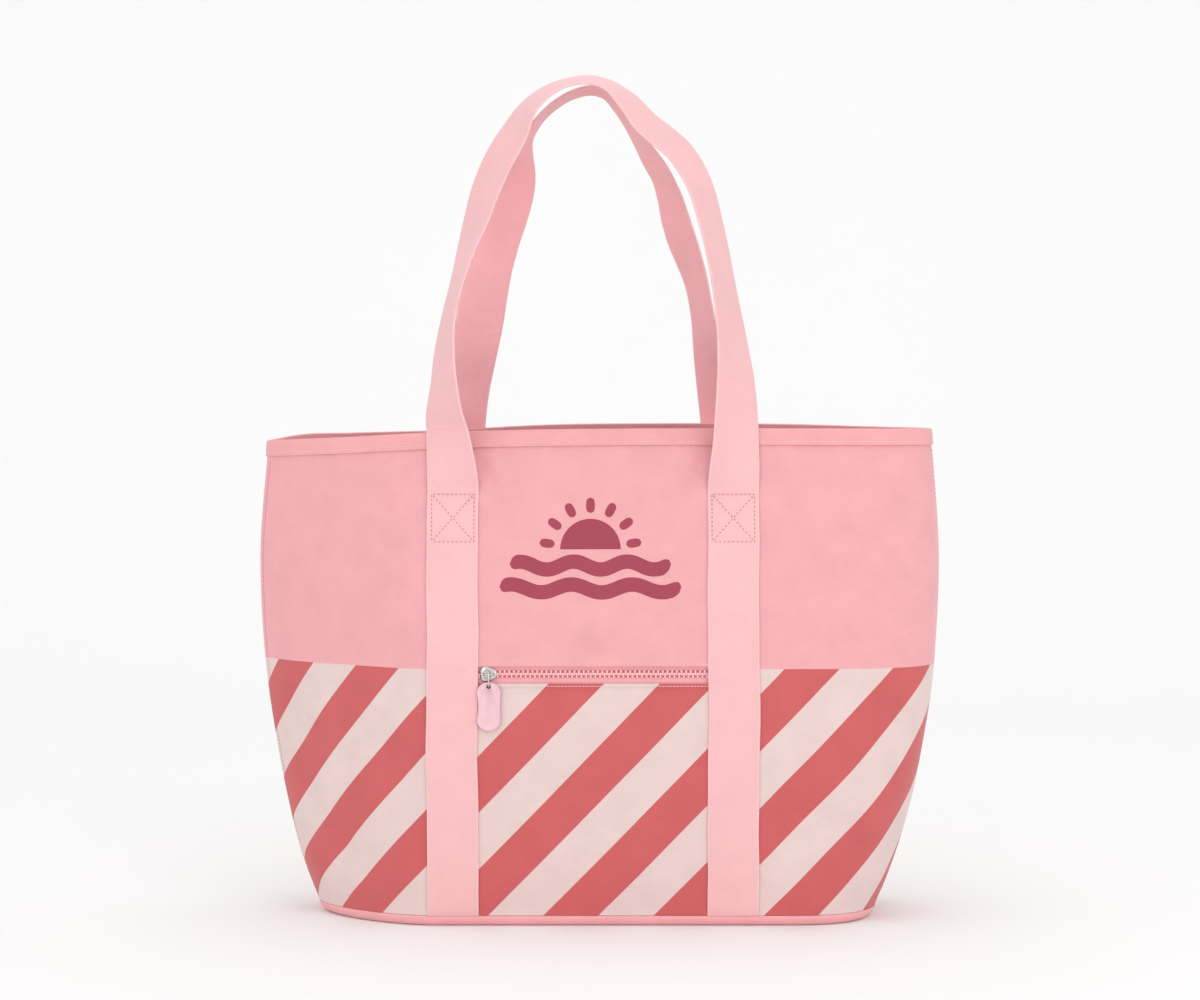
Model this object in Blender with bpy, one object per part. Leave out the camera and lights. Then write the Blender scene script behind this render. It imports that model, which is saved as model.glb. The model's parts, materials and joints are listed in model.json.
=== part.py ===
"""A large beach tote with two webbing handles and a zipped front pocket.

+X is to the right, the front faces -Y, +Z is up. The origin is on the floor, at the
middle of the base. All sizes are in metres.

Every layer of the body follows one wall: an outline that is flat in the middle, where
the webbing and the zip lie, and rounded towards the two side seams. A layer is placed by
how deep it lies inwards from the wall's outer face.
"""

import math

import bmesh
import bpy
from mathutils import Vector

FRONT = -1
BACK = 1
GAP = 0.0003  # between pieces that touch

# The wall: height, half width and half depth, from the floor to the rim.
FLOOR_Z = 0.0
BASE_SEAM_Z = 0.0085
SLIT_LOW_Z = 0.1906
SLIT_HIGH_Z = 0.2037
POCKET_FREE_Z = 0.250
STRAP_TOP_Z = 0.3387
PADDING_TOP_Z = 0.360
BINDING_LOW_Z = 0.374
RIM_Z = 0.386
WALL = (
    (FLOOR_Z, 0.2185, 0.0750),
    (BASE_SEAM_Z, 0.2232, 0.0770),
    (0.042, 0.2364, 0.0825),
    (0.090, 0.2499, 0.0858),
    (0.140, 0.2600, 0.0872),
    (SLIT_LOW_Z, 0.2671, 0.0868),
    (SLIT_HIGH_Z, 0.2684, 0.0862),
    (POCKET_FREE_Z, 0.2713, 0.0815),
    (0.290, 0.2718, 0.0745),
    (STRAP_TOP_Z, 0.2690, 0.0645),
    (PADDING_TOP_Z, 0.2672, 0.0590),
    (BINDING_LOW_Z, 0.2660, 0.0553),
    (RIM_Z, 0.2652, 0.0520),
)
FLAT_HALF = 0.135  # the wall is flat this far to each side of the middle
SIDE_SEGMENTS = 5  # facets from the flat stretch round to a side seam

# Cloth and foam.
PANEL_THICK = 0.0012
PADDING_THICK = 0.0030
LINING_THICK = 0.0008
POCKET_THICK = 0.0006
POCKET_SPACE = 0.0022
BINDING_THICK = 0.0010
BOARD_THICK = 0.0026
BOARD_INSET = 0.0076
BASE_LINING_INSET = 0.0024
BELOW_SEAM = PANEL_THICK + GAP * 4  # how far padding and lining reach below the base seam

# Webbing.
WEBBING_WIDTH = 0.040
WEBBING_THICK = 0.0016
STRAP_X = 0.109

# Zip.
SLIT_LEFT = -0.1000
SLIT_RIGHT = 0.0950
CHAIN_Z = 0.198
CHAIN_HALF = 0.00295
CHAIN_FRONT = 0.0005  # how deep the teeth start
CHAIN_BACK = 0.0029
TOOTH_PITCH = 0.0036
TOOTH_WIDTH = 0.0020
TOOTH_ROOT = 0.0019  # from the chain's middle to the strip that holds the teeth
CHAIN_SLOT_HALF = 0.0006  # the slider's post runs in this slot
TAPE_WIDTH = 0.0145
TAPE_THICK = 0.0006
TAPE_END = 0.0050  # how far the tapes run past the slit
STOP_LENGTH = 0.0022
POCKET_MARGIN = 0.018  # how far the pouch runs past the slit
POCKET_LOW_Z = 0.030
POCKET_HIGH_Z = 0.2195
POCKET_MOUTH_HALF = 0.0120

SLIDER_X = -0.0836
SLIDER_LENGTH = 0.0106
SLIDER_HEIGHT = 0.0110
SLIDER_CORNER = 0.0028
PLATE_THICK = 0.0011
POST_LENGTH = 0.0040
POST_THICK = 0.0006
BRIDGE_SPAN = 0.0084
BRIDGE_RADIUS = 0.0008
LINK_TURN = 0.0022  # radius of the link's round ends, at the middle of its wire
LINK_RADIUS = 0.0007
LINK_REACH = 0.0072  # between the centres of its round ends
TAB_WIDTH = 0.0185
TAB_LENGTH = 0.0377
TAB_THICK = 0.0022
TAB_CORNER = 0.0084
TAB_ABOVE_HOLE = 0.0034
TAB_HOLE_RADIUS = 0.0016

# One leg of a handle, from the stitching up to the middle of the arch: distance from the
# middle, distance in front of the bag's centre plane, height, and how far the webbing has
# turned from facing forwards (0) to lying flat over the arch (90).
HANDLE_LEG = (
    (0.1090, 0.0658, STRAP_TOP_Z + GAP, 0),
    (0.1100, 0.0608, 0.3640, 0),
    (0.1112, 0.0575, 0.3900, 10),
    (0.1125, 0.0550, 0.4150, 38),
    (0.1120, 0.0508, 0.4450, 56),
    (0.1085, 0.0462, 0.4800, 66),
    (0.1018, 0.0418, 0.5150, 65),
    (0.0935, 0.0380, 0.5450, 58),
    (0.0850, 0.0350, 0.5700, 52),
    (0.0755, 0.0320, 0.5930, 51),
    (0.0640, 0.0292, 0.6150, 56),
    (0.0500, 0.0265, 0.6350, 67),
    (0.0335, 0.0242, 0.6510, 79),
    (0.0165, 0.0232, 0.6610, 87),
)
HANDLE_TOP = (0.0, 0.0228, 0.6645, 90)

PINK = (0.87, 0.46, 0.48)
PALE_PINK = (0.96, 0.62, 0.62)
ROSE = (0.80, 0.34, 0.38)
CORAL = (0.72, 0.15, 0.15)


def clear_scene():
    for thing in list(bpy.data.objects):
        bpy.data.objects.remove(thing, do_unlink=True)


def material(name, colour, roughness, metallic=0.0):
    made = bpy.data.materials.new(name)
    made.use_nodes = True
    shader = made.node_tree.nodes["Principled BSDF"]
    shader.inputs["Base Color"].default_value = (*colour, 1.0)
    shader.inputs["Roughness"].default_value = roughness
    shader.inputs["Metallic"].default_value = metallic
    return made


def new_object(name, shape, made_of):
    """A named object of a bmesh whose faces are turned to point out."""
    shape.normal_update()
    bmesh.ops.recalc_face_normals(shape, faces=shape.faces)
    mesh = bpy.data.meshes.new(name)
    shape.to_mesh(mesh)
    shape.free()
    mesh.materials.append(made_of)
    thing = bpy.data.objects.new(name, mesh)
    bpy.context.scene.collection.objects.link(thing)
    return thing


def set_origin(thing, place):
    """Moves an object's origin to a place, with its shape staying where it is."""
    place = Vector(place)
    for vertex in thing.data.vertices:
        vertex.co -= place
    thing.location = place


def combine(thing, helper, operation):
    """Adds or cuts a helper's shape, and leaves the helper out of the model."""
    helper.hide_render = True
    helper.display_type = "WIRE"
    step = thing.modifiers.new(operation.title(), "BOOLEAN")
    step.operation = operation
    step.solver = "EXACT"
    step.object = helper


# The wall and the layers on it


def wall_size(z):
    """Half width and half depth at a height, straight between the rows of WALL."""
    for (low, low_a, low_b), (high, high_a, high_b) in zip(WALL, WALL[1:]):
        if z <= high:
            share = (z - low) / (high - low)
            return low_a + share * (high_a - low_a), low_b + share * (high_b - low_b)
    return WALL[-1][1:]


def wall_point(column, z, depth, side, seam=GAP / 2):
    """A point inside the wall's outer face by depth.

    A column runs from -2, the left seam, to 2, the right seam. Between -1 and 1 it lies
    on the flat stretch, and past that it goes round a quarter of an ellipse.
    """
    half_width, half_depth = wall_size(z)
    turn = max(abs(column) - 1, 0) * math.pi / 2
    reach = half_width - FLAT_HALF
    x = FLAT_HALF * min(abs(column), 1) + reach * math.sin(turn)
    y = half_depth * math.cos(turn)
    out = Vector((half_depth * math.sin(turn), reach * math.cos(turn))).normalized()
    x -= depth * out.x
    y -= depth * out.y
    return Vector((math.copysign(x, column), side * (y + seam), z))


def flat_column(x):
    return x / FLAT_HALF


def round_columns():
    return [1 + step / SIDE_SEGMENTS for step in range(SIDE_SEGMENTS + 1)]


def panel_columns(*flat):
    """Columns from seam to seam, with extra ones at the given places on the flat."""
    right = round_columns()
    return [-c for c in reversed(right)] + [flat_column(x) for x in flat] + right


def rows_between(low, high):
    return [low] + [z for z, _, _ in WALL if low < z < high] + [high]


def depth_at(layer, z):
    return layer(z) if callable(layer) else layer


def split_quad(shape, ring):
    """Two triangles that meet between the first and the third corner.

    Every layer is split along the same diagonals, so that nested layers stay clear.
    """
    first, second, third, fourth = ring
    shape.faces.new((first, second, third))
    shape.faces.new((first, third, fourth))


def layer_solid(columns, rows, layers, side, filled=None):
    """The filled cells between neighbouring columns, rows and layers, as one shape."""
    shape = bmesh.new()
    points = {}

    def corner(i, j, k):
        if (i, j, k) not in points:
            z = rows[j]
            place = wall_point(columns[i], z, depth_at(layers[k], z), side)
            points[i, j, k] = shape.verts.new(place)
        return points[i, j, k]

    counts = (len(columns) - 1, len(rows) - 1, len(layers) - 1)

    def is_filled(cell):
        if any(n < 0 or n >= count for n, count in zip(cell, counts)):
            return False
        return filled is None or filled(*cell)

    cells = [
        (i, j, k)
        for i in range(counts[0])
        for j in range(counts[1])
        for k in range(counts[2])
        if is_filled((i, j, k))
    ]
    for cell in cells:
        for axis in range(3):
            for step in (0, 1):
                beside = list(cell)
                beside[axis] += 2 * step - 1
                if is_filled(beside):
                    continue
                first, second = [n for n in range(3) if n != axis]
                ring = []
                for a, b in ((0, 0), (1, 0), (1, 1), (0, 1)):
                    at = list(cell)
                    at[axis] += step
                    at[first] += a
                    at[second] += b
                    ring.append(corner(*at))
                split_quad(shape, ring if side == FRONT else ring[1:] + ring[:1])
    return shape


def outline(z, depth):
    """The whole closed outline at one height, from the left seam round the front."""
    columns = [c for c in panel_columns() if abs(c) < 2]
    front = [wall_point(c, z, depth, FRONT, 0) for c in [-2] + columns]
    back = [wall_point(c, z, depth, BACK, 0) for c in [2] + columns[::-1]]
    return front + back


def lofted(loops, closed=False, ribbon=False):
    """Skins closed loops of points in turn. A closed loft has no caps.

    Both faces of a thin twisted ribbon are split along the same diagonals, so that they
    stay apart.
    """
    shape = bmesh.new()
    rings = [[shape.verts.new(point) for point in loop] for loop in loops]
    pairs = list(zip(rings, rings[1:]))
    if closed:
        pairs.append((rings[-1], rings[0]))
    else:
        shape.faces.new(rings[0][::-1])
        shape.faces.new(rings[-1])
    for low, high in pairs:
        if low[0].co.z > high[0].co.z:
            low, high = high, low
        for n in range(len(low)):
            m = (n + 1) % len(low)
            ring = (low[n], low[m], high[m], high[n])
            turned = ribbon and n >= len(low) // 2
            split_quad(shape, ring[1:] + ring[:1] if turned else ring)
    return shape


def pocket_room(z):
    """How much deeper the front's inner layers lie, to leave room for the pocket."""
    room = POCKET_THICK * 2 + POCKET_SPACE + TAPE_THICK + 2 * GAP
    return room * min(1, max(0, (STRAP_TOP_Z - z) / (STRAP_TOP_Z - POCKET_FREE_Z)))


def padding_depth(side):
    def depth(z):
        return PANEL_THICK + GAP + (pocket_room(z) if side == FRONT else 0)

    return depth


def lining_depth(side):
    """The lining follows the padding, then closes up to the panel inside the binding."""

    def depth(z):
        share = (BINDING_LOW_Z - z) / (BINDING_LOW_Z - PADDING_TOP_Z)
        over_padding = (PADDING_THICK + GAP) * min(1, max(0, share))
        return padding_depth(side)(z) + over_padding

    return depth


def deeper(layer, amount):
    return lambda z: depth_at(layer, z) + amount


# Body


def make_panel(name, side, cloth, slit=False):
    columns = panel_columns(SLIT_LEFT, SLIT_RIGHT) if slit else panel_columns()
    rows = rows_between(BASE_SEAM_Z, RIM_Z)

    def filled(i, j, k):
        in_columns = slit and columns[i] == flat_column(SLIT_LEFT)
        return not (in_columns and rows[j] == SLIT_LOW_Z)

    shape = layer_solid(columns, rows, (0, PANEL_THICK), side, filled)
    return new_object(name, shape, cloth)


def make_padding(name, side, foam):
    depth = padding_depth(side)
    layers = (depth, deeper(depth, PADDING_THICK))
    low = BASE_SEAM_Z - BELOW_SEAM
    shape = layer_solid(panel_columns(), rows_between(low, PADDING_TOP_Z - GAP), layers, side)
    return new_object(name, shape, foam)


def make_lining(name, side, cloth):
    depth = lining_depth(side)
    layers = (depth, deeper(depth, LINING_THICK))
    low = BASE_SEAM_Z - BELOW_SEAM
    shape = layer_solid(panel_columns(), rows_between(low, RIM_Z), layers, side)
    return new_object(name, shape, cloth)


def make_binding(cloth):
    """A folded tape over the rim: an upside-down U that runs all the way round."""
    outer = -GAP - BINDING_THICK
    inner = PANEL_THICK + GAP + LINING_THICK + GAP + BINDING_THICK
    low = BINDING_LOW_Z + GAP
    top = RIM_Z + GAP
    profile = (
        (outer, low),
        (outer, top),
        (outer + BINDING_THICK / 2, top + BINDING_THICK),
        (inner - BINDING_THICK / 2, top + BINDING_THICK),
        (inner, top),
        (inner, low),
        (inner - BINDING_THICK, low),
        (inner - BINDING_THICK, top),
        (outer + BINDING_THICK, top),
        (outer + BINDING_THICK, low),
    )
    loops = [outline(z, depth) for depth, z in profile]
    return new_object("rim_binding", lofted(loops, closed=True), cloth)


def make_base(cloth, board, lining):
    """The turned-up base panel, the board that stiffens it and the lining over it."""
    wall_top = BASE_SEAM_Z - GAP
    profile = (
        (0.0060, FLOOR_Z),
        (0.0018, 0.0016),
        (0.0, 0.0048),
        (0.0, wall_top),
        (PANEL_THICK, wall_top),
        (PANEL_THICK, 0.0052),
        (0.0028, 0.0026),
        (0.0066, PANEL_THICK),
    )
    new_object("base_panel", lofted([outline(z, depth) for depth, z in profile]), cloth)
    board_low = PANEL_THICK + GAP
    board_high = board_low + BOARD_THICK
    shape = lofted([outline(z, BOARD_INSET) for z in (board_low, board_high)])
    new_object("base_board", shape, board)
    lining_low = board_high + GAP
    heights = (lining_low, lining_low + LINING_THICK)
    shape = lofted([outline(z, BASE_LINING_INSET) for z in heights])
    new_object("base_lining", shape, lining)


# Webbing


def make_strap(name, x, side, webbing):
    columns = [flat_column(x - WEBBING_WIDTH / 2), flat_column(x + WEBBING_WIDTH / 2)]
    layers = (-GAP - WEBBING_THICK, -GAP)
    shape = layer_solid(columns, rows_between(BASE_SEAM_Z, STRAP_TOP_Z), layers, side)
    return new_object(name, shape, webbing)


def handle_stations(side):
    """Middle of the webbing, its way across and its turn, from left foot to right foot."""
    left = [(-x, side * y, z, turn, 1) for x, y, z, turn in HANDLE_LEG]
    x, y, z, turn = HANDLE_TOP
    right = [(-x, y, z, turn, -1) for x, y, z, turn, _ in reversed(left)]
    return left + [(x, side * y, z, turn, 1)] + right


def make_handle(name, side, webbing):
    stations = handle_stations(side)
    places = [Vector(station[:3]) for station in stations]
    loops = []
    for n, (_, _, _, turn, inwards) in enumerate(stations):
        ahead = places[min(n + 1, len(places) - 1)] - places[max(n - 1, 0)]
        ahead.normalize()
        if n in (0, len(places) - 1):
            ahead = Vector((0, 0, inwards))
        level = Vector((0, 1, 0)) - ahead * ahead.y
        level.normalize()
        across = level.cross(ahead)
        angle = math.radians(turn)
        wide = across * math.cos(angle) + level * side * math.sin(angle)
        thick = wide.cross(ahead)
        half_wide = wide * WEBBING_WIDTH / 2
        half_thick = thick * WEBBING_THICK / 2
        at = places[n]
        loops.append(
            (
                at - half_wide - half_thick,
                at + half_wide - half_thick,
                at + half_wide + half_thick,
                at - half_wide + half_thick,
            )
        )
    thing = new_object(name, lofted(loops, ribbon=True), webbing)
    set_origin(thing, handle_axis(side))
    return thing


def handle_axis(side):
    """The webbing folds on its outer face, at the top of the stitching."""
    outer = HANDLE_LEG[0][1] + WEBBING_THICK / 2 + GAP
    return (0, side * outer, STRAP_TOP_Z + GAP / 2)


# Zip pocket


def make_pocket(cloth):
    """A flat pouch behind the slit, with its mouth in its front wall."""
    left = SLIT_LEFT - POCKET_MARGIN
    right = SLIT_RIGHT + POCKET_MARGIN
    low, high = POCKET_LOW_Z, POCKET_HIGH_Z
    mouth_low = CHAIN_Z - POCKET_MOUTH_HALF
    mouth_high = CHAIN_Z + POCKET_MOUTH_HALF
    edges = (left, left + POCKET_THICK, SLIT_LEFT, SLIT_RIGHT, right - POCKET_THICK, right)
    columns = [flat_column(x) for x in edges]
    marks = {low, low + POCKET_THICK, mouth_low, mouth_high, high - POCKET_THICK, high}
    rows = sorted(marks | set(rows_between(low, high)))
    front = PANEL_THICK + GAP + TAPE_THICK + GAP
    layers = (
        front,
        front + POCKET_THICK,
        front + POCKET_THICK + POCKET_SPACE,
        front + 2 * POCKET_THICK + POCKET_SPACE,
    )

    def filled(i, j, k):
        edge = i in (0, len(columns) - 2) or j in (0, len(rows) - 2)
        mouth = i == 2 and mouth_low <= rows[j] < mouth_high
        return edge or k == 2 or (k == 0 and not mouth)

    shape = layer_solid(columns, rows, layers, FRONT, filled)
    return new_object("pocket_bag", shape, cloth)


def make_tape(name, up, cloth):
    near = CHAIN_Z + up * (CHAIN_HALF + GAP)
    far = near + up * TAPE_WIDTH
    columns = [flat_column(SLIT_LEFT - TAPE_END), flat_column(SLIT_RIGHT + TAPE_END)]
    layers = (PANEL_THICK + GAP, PANEL_THICK + GAP + TAPE_THICK)
    rows = rows_between(min(near, far), max(near, far))
    return new_object(name, layer_solid(columns, rows, layers, FRONT), cloth)


def make_teeth(name, up, plastic):
    """A strip of teeth. The two strips are half a pitch apart, so that they would mesh."""
    first = SLIT_LEFT + GAP + STOP_LENGTH + GAP
    last = SLIT_RIGHT - GAP - STOP_LENGTH - GAP
    start = first + (TOOTH_PITCH - TOOTH_WIDTH) / 2 + (0 if up > 0 else TOOTH_PITCH / 2)
    count = int((last - start) / TOOTH_PITCH)
    edges = [first]
    for n in range(count):
        edges += [start + n * TOOTH_PITCH, start + n * TOOTH_PITCH + TOOTH_WIDTH]
    edges.append(last)
    heights = [CHAIN_Z + up * d for d in (CHAIN_SLOT_HALF, TOOTH_ROOT, CHAIN_HALF)]
    rows = sorted(heights)
    root_row = 1 if up > 0 else 0

    def filled(i, j, k):
        return j == root_row or i % 2 == 1

    columns = [flat_column(x) for x in edges]
    shape = layer_solid(columns, rows, (CHAIN_FRONT, CHAIN_BACK), FRONT, filled)
    return new_object(name, shape, plastic)


def make_stop(name, x, plastic):
    columns = [flat_column(x), flat_column(x + STOP_LENGTH)]
    rows = (CHAIN_Z - CHAIN_HALF, CHAIN_Z + CHAIN_HALF)
    shape = layer_solid(columns, rows, (CHAIN_FRONT, CHAIN_BACK), FRONT)
    return new_object(name, shape, plastic)


def zip_front():
    """How far forward the wall's outer face is, at the zip."""
    return -wall_size(CHAIN_Z)[1] - GAP / 2


def bridge_axis():
    """The middle of the slider's bridge, which the link hangs on."""
    plate_face = zip_front() + CHAIN_FRONT - GAP - PLATE_THICK
    return Vector((SLIDER_X, plate_face - GAP - LINK_TURN - LINK_RADIUS, CHAIN_Z))


def box_shape(low, high):
    shape = bmesh.new()
    bmesh.ops.create_cube(shape, size=1)
    for vertex in shape.verts:
        for axis in range(3):
            middle = (low[axis] + high[axis]) / 2
            vertex.co[axis] = middle + vertex.co[axis] * (high[axis] - low[axis])
    return shape


def tube_shape(points, radius, sides, closed):
    """A round wire along points in one plane, each ring square to the way it runs."""
    count = len(points)
    normal = (points[1] - points[0]).cross(points[count // 2] - points[0]).normalized()
    loops = []
    for n, point in enumerate(points):
        before = points[n - 1] if closed or n > 0 else point
        after = points[(n + 1) % count] if closed or n < count - 1 else point
        outwards = (after - before).normalized().cross(normal)
        ring = []
        for m in range(sides):
            angle = 2 * math.pi * m / sides
            ring.append(point + radius * (math.cos(angle) * outwards + math.sin(angle) * normal))
        loops.append(ring)
    return lofted(loops, closed)


def make_slider(metal):
    """Two plates round the chain, joined by a post, with a bridge on the front one."""
    front = zip_front() + CHAIN_FRONT - GAP
    back = zip_front() + CHAIN_BACK + GAP
    half_long = SLIDER_LENGTH / 2
    half_high = SLIDER_HEIGHT / 2

    def plate(y_low, y_high):
        low = (SLIDER_X - half_long, y_low, CHAIN_Z - half_high)
        high = (SLIDER_X + half_long, y_high, CHAIN_Z + half_high)
        shape = box_shape(low, high)
        upright = [e for e in shape.edges if abs(e.verts[0].co.y - e.verts[1].co.y) > 1e-6]
        bmesh.ops.bevel(shape, geom=upright, offset=SLIDER_CORNER, segments=3, affect="EDGES")
        return shape

    slider = new_object("zip_slider", plate(front - PLATE_THICK, front), metal)
    back_plate = new_object("helper_back_plate", plate(back, back + PLATE_THICK), metal)
    sunk = PLATE_THICK / 2
    low = (SLIDER_X - POST_LENGTH / 2, front - sunk, CHAIN_Z - POST_THICK / 2)
    high = (SLIDER_X + POST_LENGTH / 2, back + sunk, CHAIN_Z + POST_THICK / 2)
    post = new_object("helper_post", box_shape(low, high), metal)
    axis = bridge_axis()
    foot = Vector((BRIDGE_SPAN / 2, front - sunk - axis.y, 0))
    corner = BRIDGE_RADIUS * 1.5
    half = [foot]
    for angle in (0, math.pi / 4, math.pi / 2):
        inwards = corner * (1 - math.cos(angle))
        half.append(Vector((foot.x - inwards, corner * (1 - math.sin(angle)), 0)))
    mirrored = [Vector((-point.x, point.y, 0)) for point in reversed(half)]
    route = [axis + point for point in half + mirrored]
    shape = tube_shape(route, BRIDGE_RADIUS, 8, closed=False)
    bridge = new_object("helper_bridge", shape, metal)
    for helper in (back_plate, post, bridge):
        combine(slider, helper, "UNION")
    return slider


def make_link(metal):
    axis = bridge_axis()
    route = []
    turn_steps = 6
    for step in range(turn_steps + 1):
        angle = math.pi * step / turn_steps
        route.append(axis + LINK_TURN * Vector((0, math.cos(angle), math.sin(angle))))
    low = axis - Vector((0, 0, LINK_REACH))
    for step in range(turn_steps + 1):
        angle = math.pi * (1 + step / turn_steps)
        route.append(low + LINK_TURN * Vector((0, math.cos(angle), math.sin(angle))))
    link = new_object("pull_link", tube_shape(route, LINK_RADIUS, 8, closed=True), metal)
    set_origin(link, axis)
    return link


def tab_axis():
    """The bottom of the link, which the tab swings on."""
    return bridge_axis() - Vector((0, 0, LINK_REACH + LINK_TURN))


def make_tab(rubber):
    """A flat pill with a hole near its top."""
    hole = tab_axis()
    top = hole.z + TAB_ABOVE_HOLE
    half = TAB_WIDTH / 2 - TAB_CORNER
    centres = (
        (half, top - TAB_CORNER),
        (-half, top - TAB_CORNER),
        (-half, top - TAB_LENGTH + TAB_CORNER),
        (half, top - TAB_LENGTH + TAB_CORNER),
    )
    steps = 6
    ring = []
    for quarter, (x, z) in enumerate(centres):
        for step in range(steps + 1):
            angle = math.pi / 2 * (quarter + step / steps)
            along = TAB_CORNER * math.cos(angle)
            ring.append((hole.x + x + along, z + TAB_CORNER * math.sin(angle)))
    faces = (hole.y - TAB_THICK / 2, hole.y + TAB_THICK / 2)
    loops = [[Vector((x, y, z)) for x, z in ring] for y in faces]
    tab = new_object("pull_tab", lofted(loops), rubber)
    cutter = bmesh.new()
    bmesh.ops.create_cone(
        cutter,
        cap_ends=True,
        segments=12,
        radius1=TAB_HOLE_RADIUS,
        radius2=TAB_HOLE_RADIUS,
        depth=TAB_THICK * 3,
    )
    for vertex in cutter.verts:
        vertex.co = hole + Vector((vertex.co.x, vertex.co.z, vertex.co.y))
    combine(tab, new_object("helper_tab_hole", cutter, rubber), "DIFFERENCE")
    return tab


def main():
    clear_scene()
    outer_cloth = material("outer_cloth", PINK, 0.8)
    lining_cloth = material("lining_cloth", ROSE, 0.8)
    foam = material("foam", (0.85, 0.85, 0.85), 0.9)
    board = material("board", (0.80, 0.80, 0.78), 0.6)
    webbing = material("webbing", PALE_PINK, 0.85)
    zip_plastic = material("zip_plastic", CORAL, 0.4)
    metal = material("metal", (0.75, 0.75, 0.76), 0.25, 1.0)
    rubber = material("rubber", PALE_PINK, 0.5)

    make_panel("front_panel", FRONT, outer_cloth, slit=True)
    make_panel("back_panel", BACK, outer_cloth)
    for name, side in (("front", FRONT), ("back", BACK)):
        make_padding(name + "_padding", side, foam)
        make_lining(name + "_lining", side, lining_cloth)
        make_strap(name + "_strap_left", -STRAP_X, side, webbing)
        make_strap(name + "_strap_right", STRAP_X, side, webbing)
    make_handle("front_handle", FRONT, webbing)
    make_handle("rear_handle", BACK, webbing)
    make_binding(outer_cloth)
    make_base(outer_cloth, board, lining_cloth)

    make_pocket(lining_cloth)
    for name, up in (("upper", 1), ("lower", -1)):
        make_tape("zip_tape_" + name, up, outer_cloth)
        make_teeth("zip_teeth_" + name, up, zip_plastic)
    make_stop("zip_stop_left", SLIT_LEFT + GAP, zip_plastic)
    make_stop("zip_stop_right", SLIT_RIGHT - GAP - STOP_LENGTH, zip_plastic)
    slider = make_slider(metal)
    link = make_link(metal)
    tab = make_tab(rubber)
    for thing, parent in ((link, slider), (tab, link)):
        thing.parent = parent
        bpy.context.view_layer.update()
        thing.matrix_parent_inverse = parent.matrix_world.inverted()


main()
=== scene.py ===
"""How the beach tote looks: cloth, webbing, zip and stitching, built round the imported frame.

+X is to the right, the front faces -Y, +Z is up, in metres. The body's layers share one
wall. A place on it is given by side, by u, the length along the cloth from the middle, and
by z, the height on the flat cloth. Its depth is how far it lies inwards from the outer face.
"""

import json
import math

import bmesh
import bpy
import numpy as np
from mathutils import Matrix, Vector


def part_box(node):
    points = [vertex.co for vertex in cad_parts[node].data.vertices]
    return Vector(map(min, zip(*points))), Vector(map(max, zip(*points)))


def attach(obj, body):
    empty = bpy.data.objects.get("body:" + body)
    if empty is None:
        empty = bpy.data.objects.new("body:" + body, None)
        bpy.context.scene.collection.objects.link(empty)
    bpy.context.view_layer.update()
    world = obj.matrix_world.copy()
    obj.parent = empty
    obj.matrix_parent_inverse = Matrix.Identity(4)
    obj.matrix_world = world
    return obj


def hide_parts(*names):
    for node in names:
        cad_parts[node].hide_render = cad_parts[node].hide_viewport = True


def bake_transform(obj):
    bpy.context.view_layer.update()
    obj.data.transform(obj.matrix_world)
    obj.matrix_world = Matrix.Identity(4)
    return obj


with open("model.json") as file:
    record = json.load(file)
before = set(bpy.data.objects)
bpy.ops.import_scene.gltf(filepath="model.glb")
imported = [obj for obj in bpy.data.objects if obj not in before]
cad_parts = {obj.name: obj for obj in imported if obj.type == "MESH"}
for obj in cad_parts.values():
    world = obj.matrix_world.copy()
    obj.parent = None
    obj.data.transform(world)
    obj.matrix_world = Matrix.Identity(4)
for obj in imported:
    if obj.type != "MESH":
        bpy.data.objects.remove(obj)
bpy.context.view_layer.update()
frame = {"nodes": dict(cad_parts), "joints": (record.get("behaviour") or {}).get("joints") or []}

FRONT = -1
BACK = 1
LEFT = -1
RIGHT = 1
GAP = 0.0003  # between neighbours that don't touch

# Cloth, in the same thicknesses as the frame.
PANEL_THICK = 0.0012
PADDING_THICK = 0.0030
LINING_THICK = 0.0008
POCKET_THICK = 0.0006
TAPE_THICK = 0.0006
BINDING_THICK = 0.0010
POCKET_ROOM = 0.0046  # extra depth behind the front panel, for the pocket
POCKET_FREE_Z = 0.250

BASE_SEAM_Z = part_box("front_panel")[0].z
RIM_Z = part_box("front_panel")[1].z
STRAP_TOP_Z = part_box("front_strap_left")[1].z
PADDING_TOP_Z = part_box("front_padding")[1].z
BINDING_LOW_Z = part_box("rim_binding")[0].z
CHAIN_Z = (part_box("zip_teeth_upper")[1].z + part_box("zip_teeth_lower")[0].z) / 2
SLIT_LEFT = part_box("zip_stop_left")[0].x - GAP
SLIT_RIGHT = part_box("zip_stop_right")[1].x + GAP
SLIT_LOW_Z = 0.1906
SLIT_HIGH_Z = 0.2037

WEBBING_WIDTH = 0.040
WEBBING_THICK = 0.0017
STRAP_X = {LEFT: -0.112, RIGHT: 0.106}

# The stripes' print: dark where (z - slope * u - start) falls in the first half of a period.
STRIPE_SLOPE = 1.035
STRIPE_START = 0.0961
STRIPE_PERIOD = 0.0889
STRIPE_TOP_Z = 0.2018
STRIPE_BLUR = 0.0035  # half the width of a stripe's edge, as a share of a period


# Small helpers


def smooth(share):
    share = np.clip(share, 0, 1)
    return share * share * (3 - 2 * share)


def smooth_curve(places, values):
    """A smooth curve through points, for heights between the first and the last."""
    slopes = np.gradient(values, places)

    def at(place):
        place = np.clip(place, places[0], places[-1])
        n = np.clip(np.searchsorted(places, place) - 1, 0, len(places) - 2)
        step = places[n + 1] - places[n]
        t = (place - places[n]) / step
        near = values[n] * (1 + 2 * t) * (1 - t) ** 2 + values[n + 1] * t * t * (3 - 2 * t)
        return near + step * (slopes[n] * t * (1 - t) ** 2 - slopes[n + 1] * t * t * (1 - t))

    return at


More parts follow.
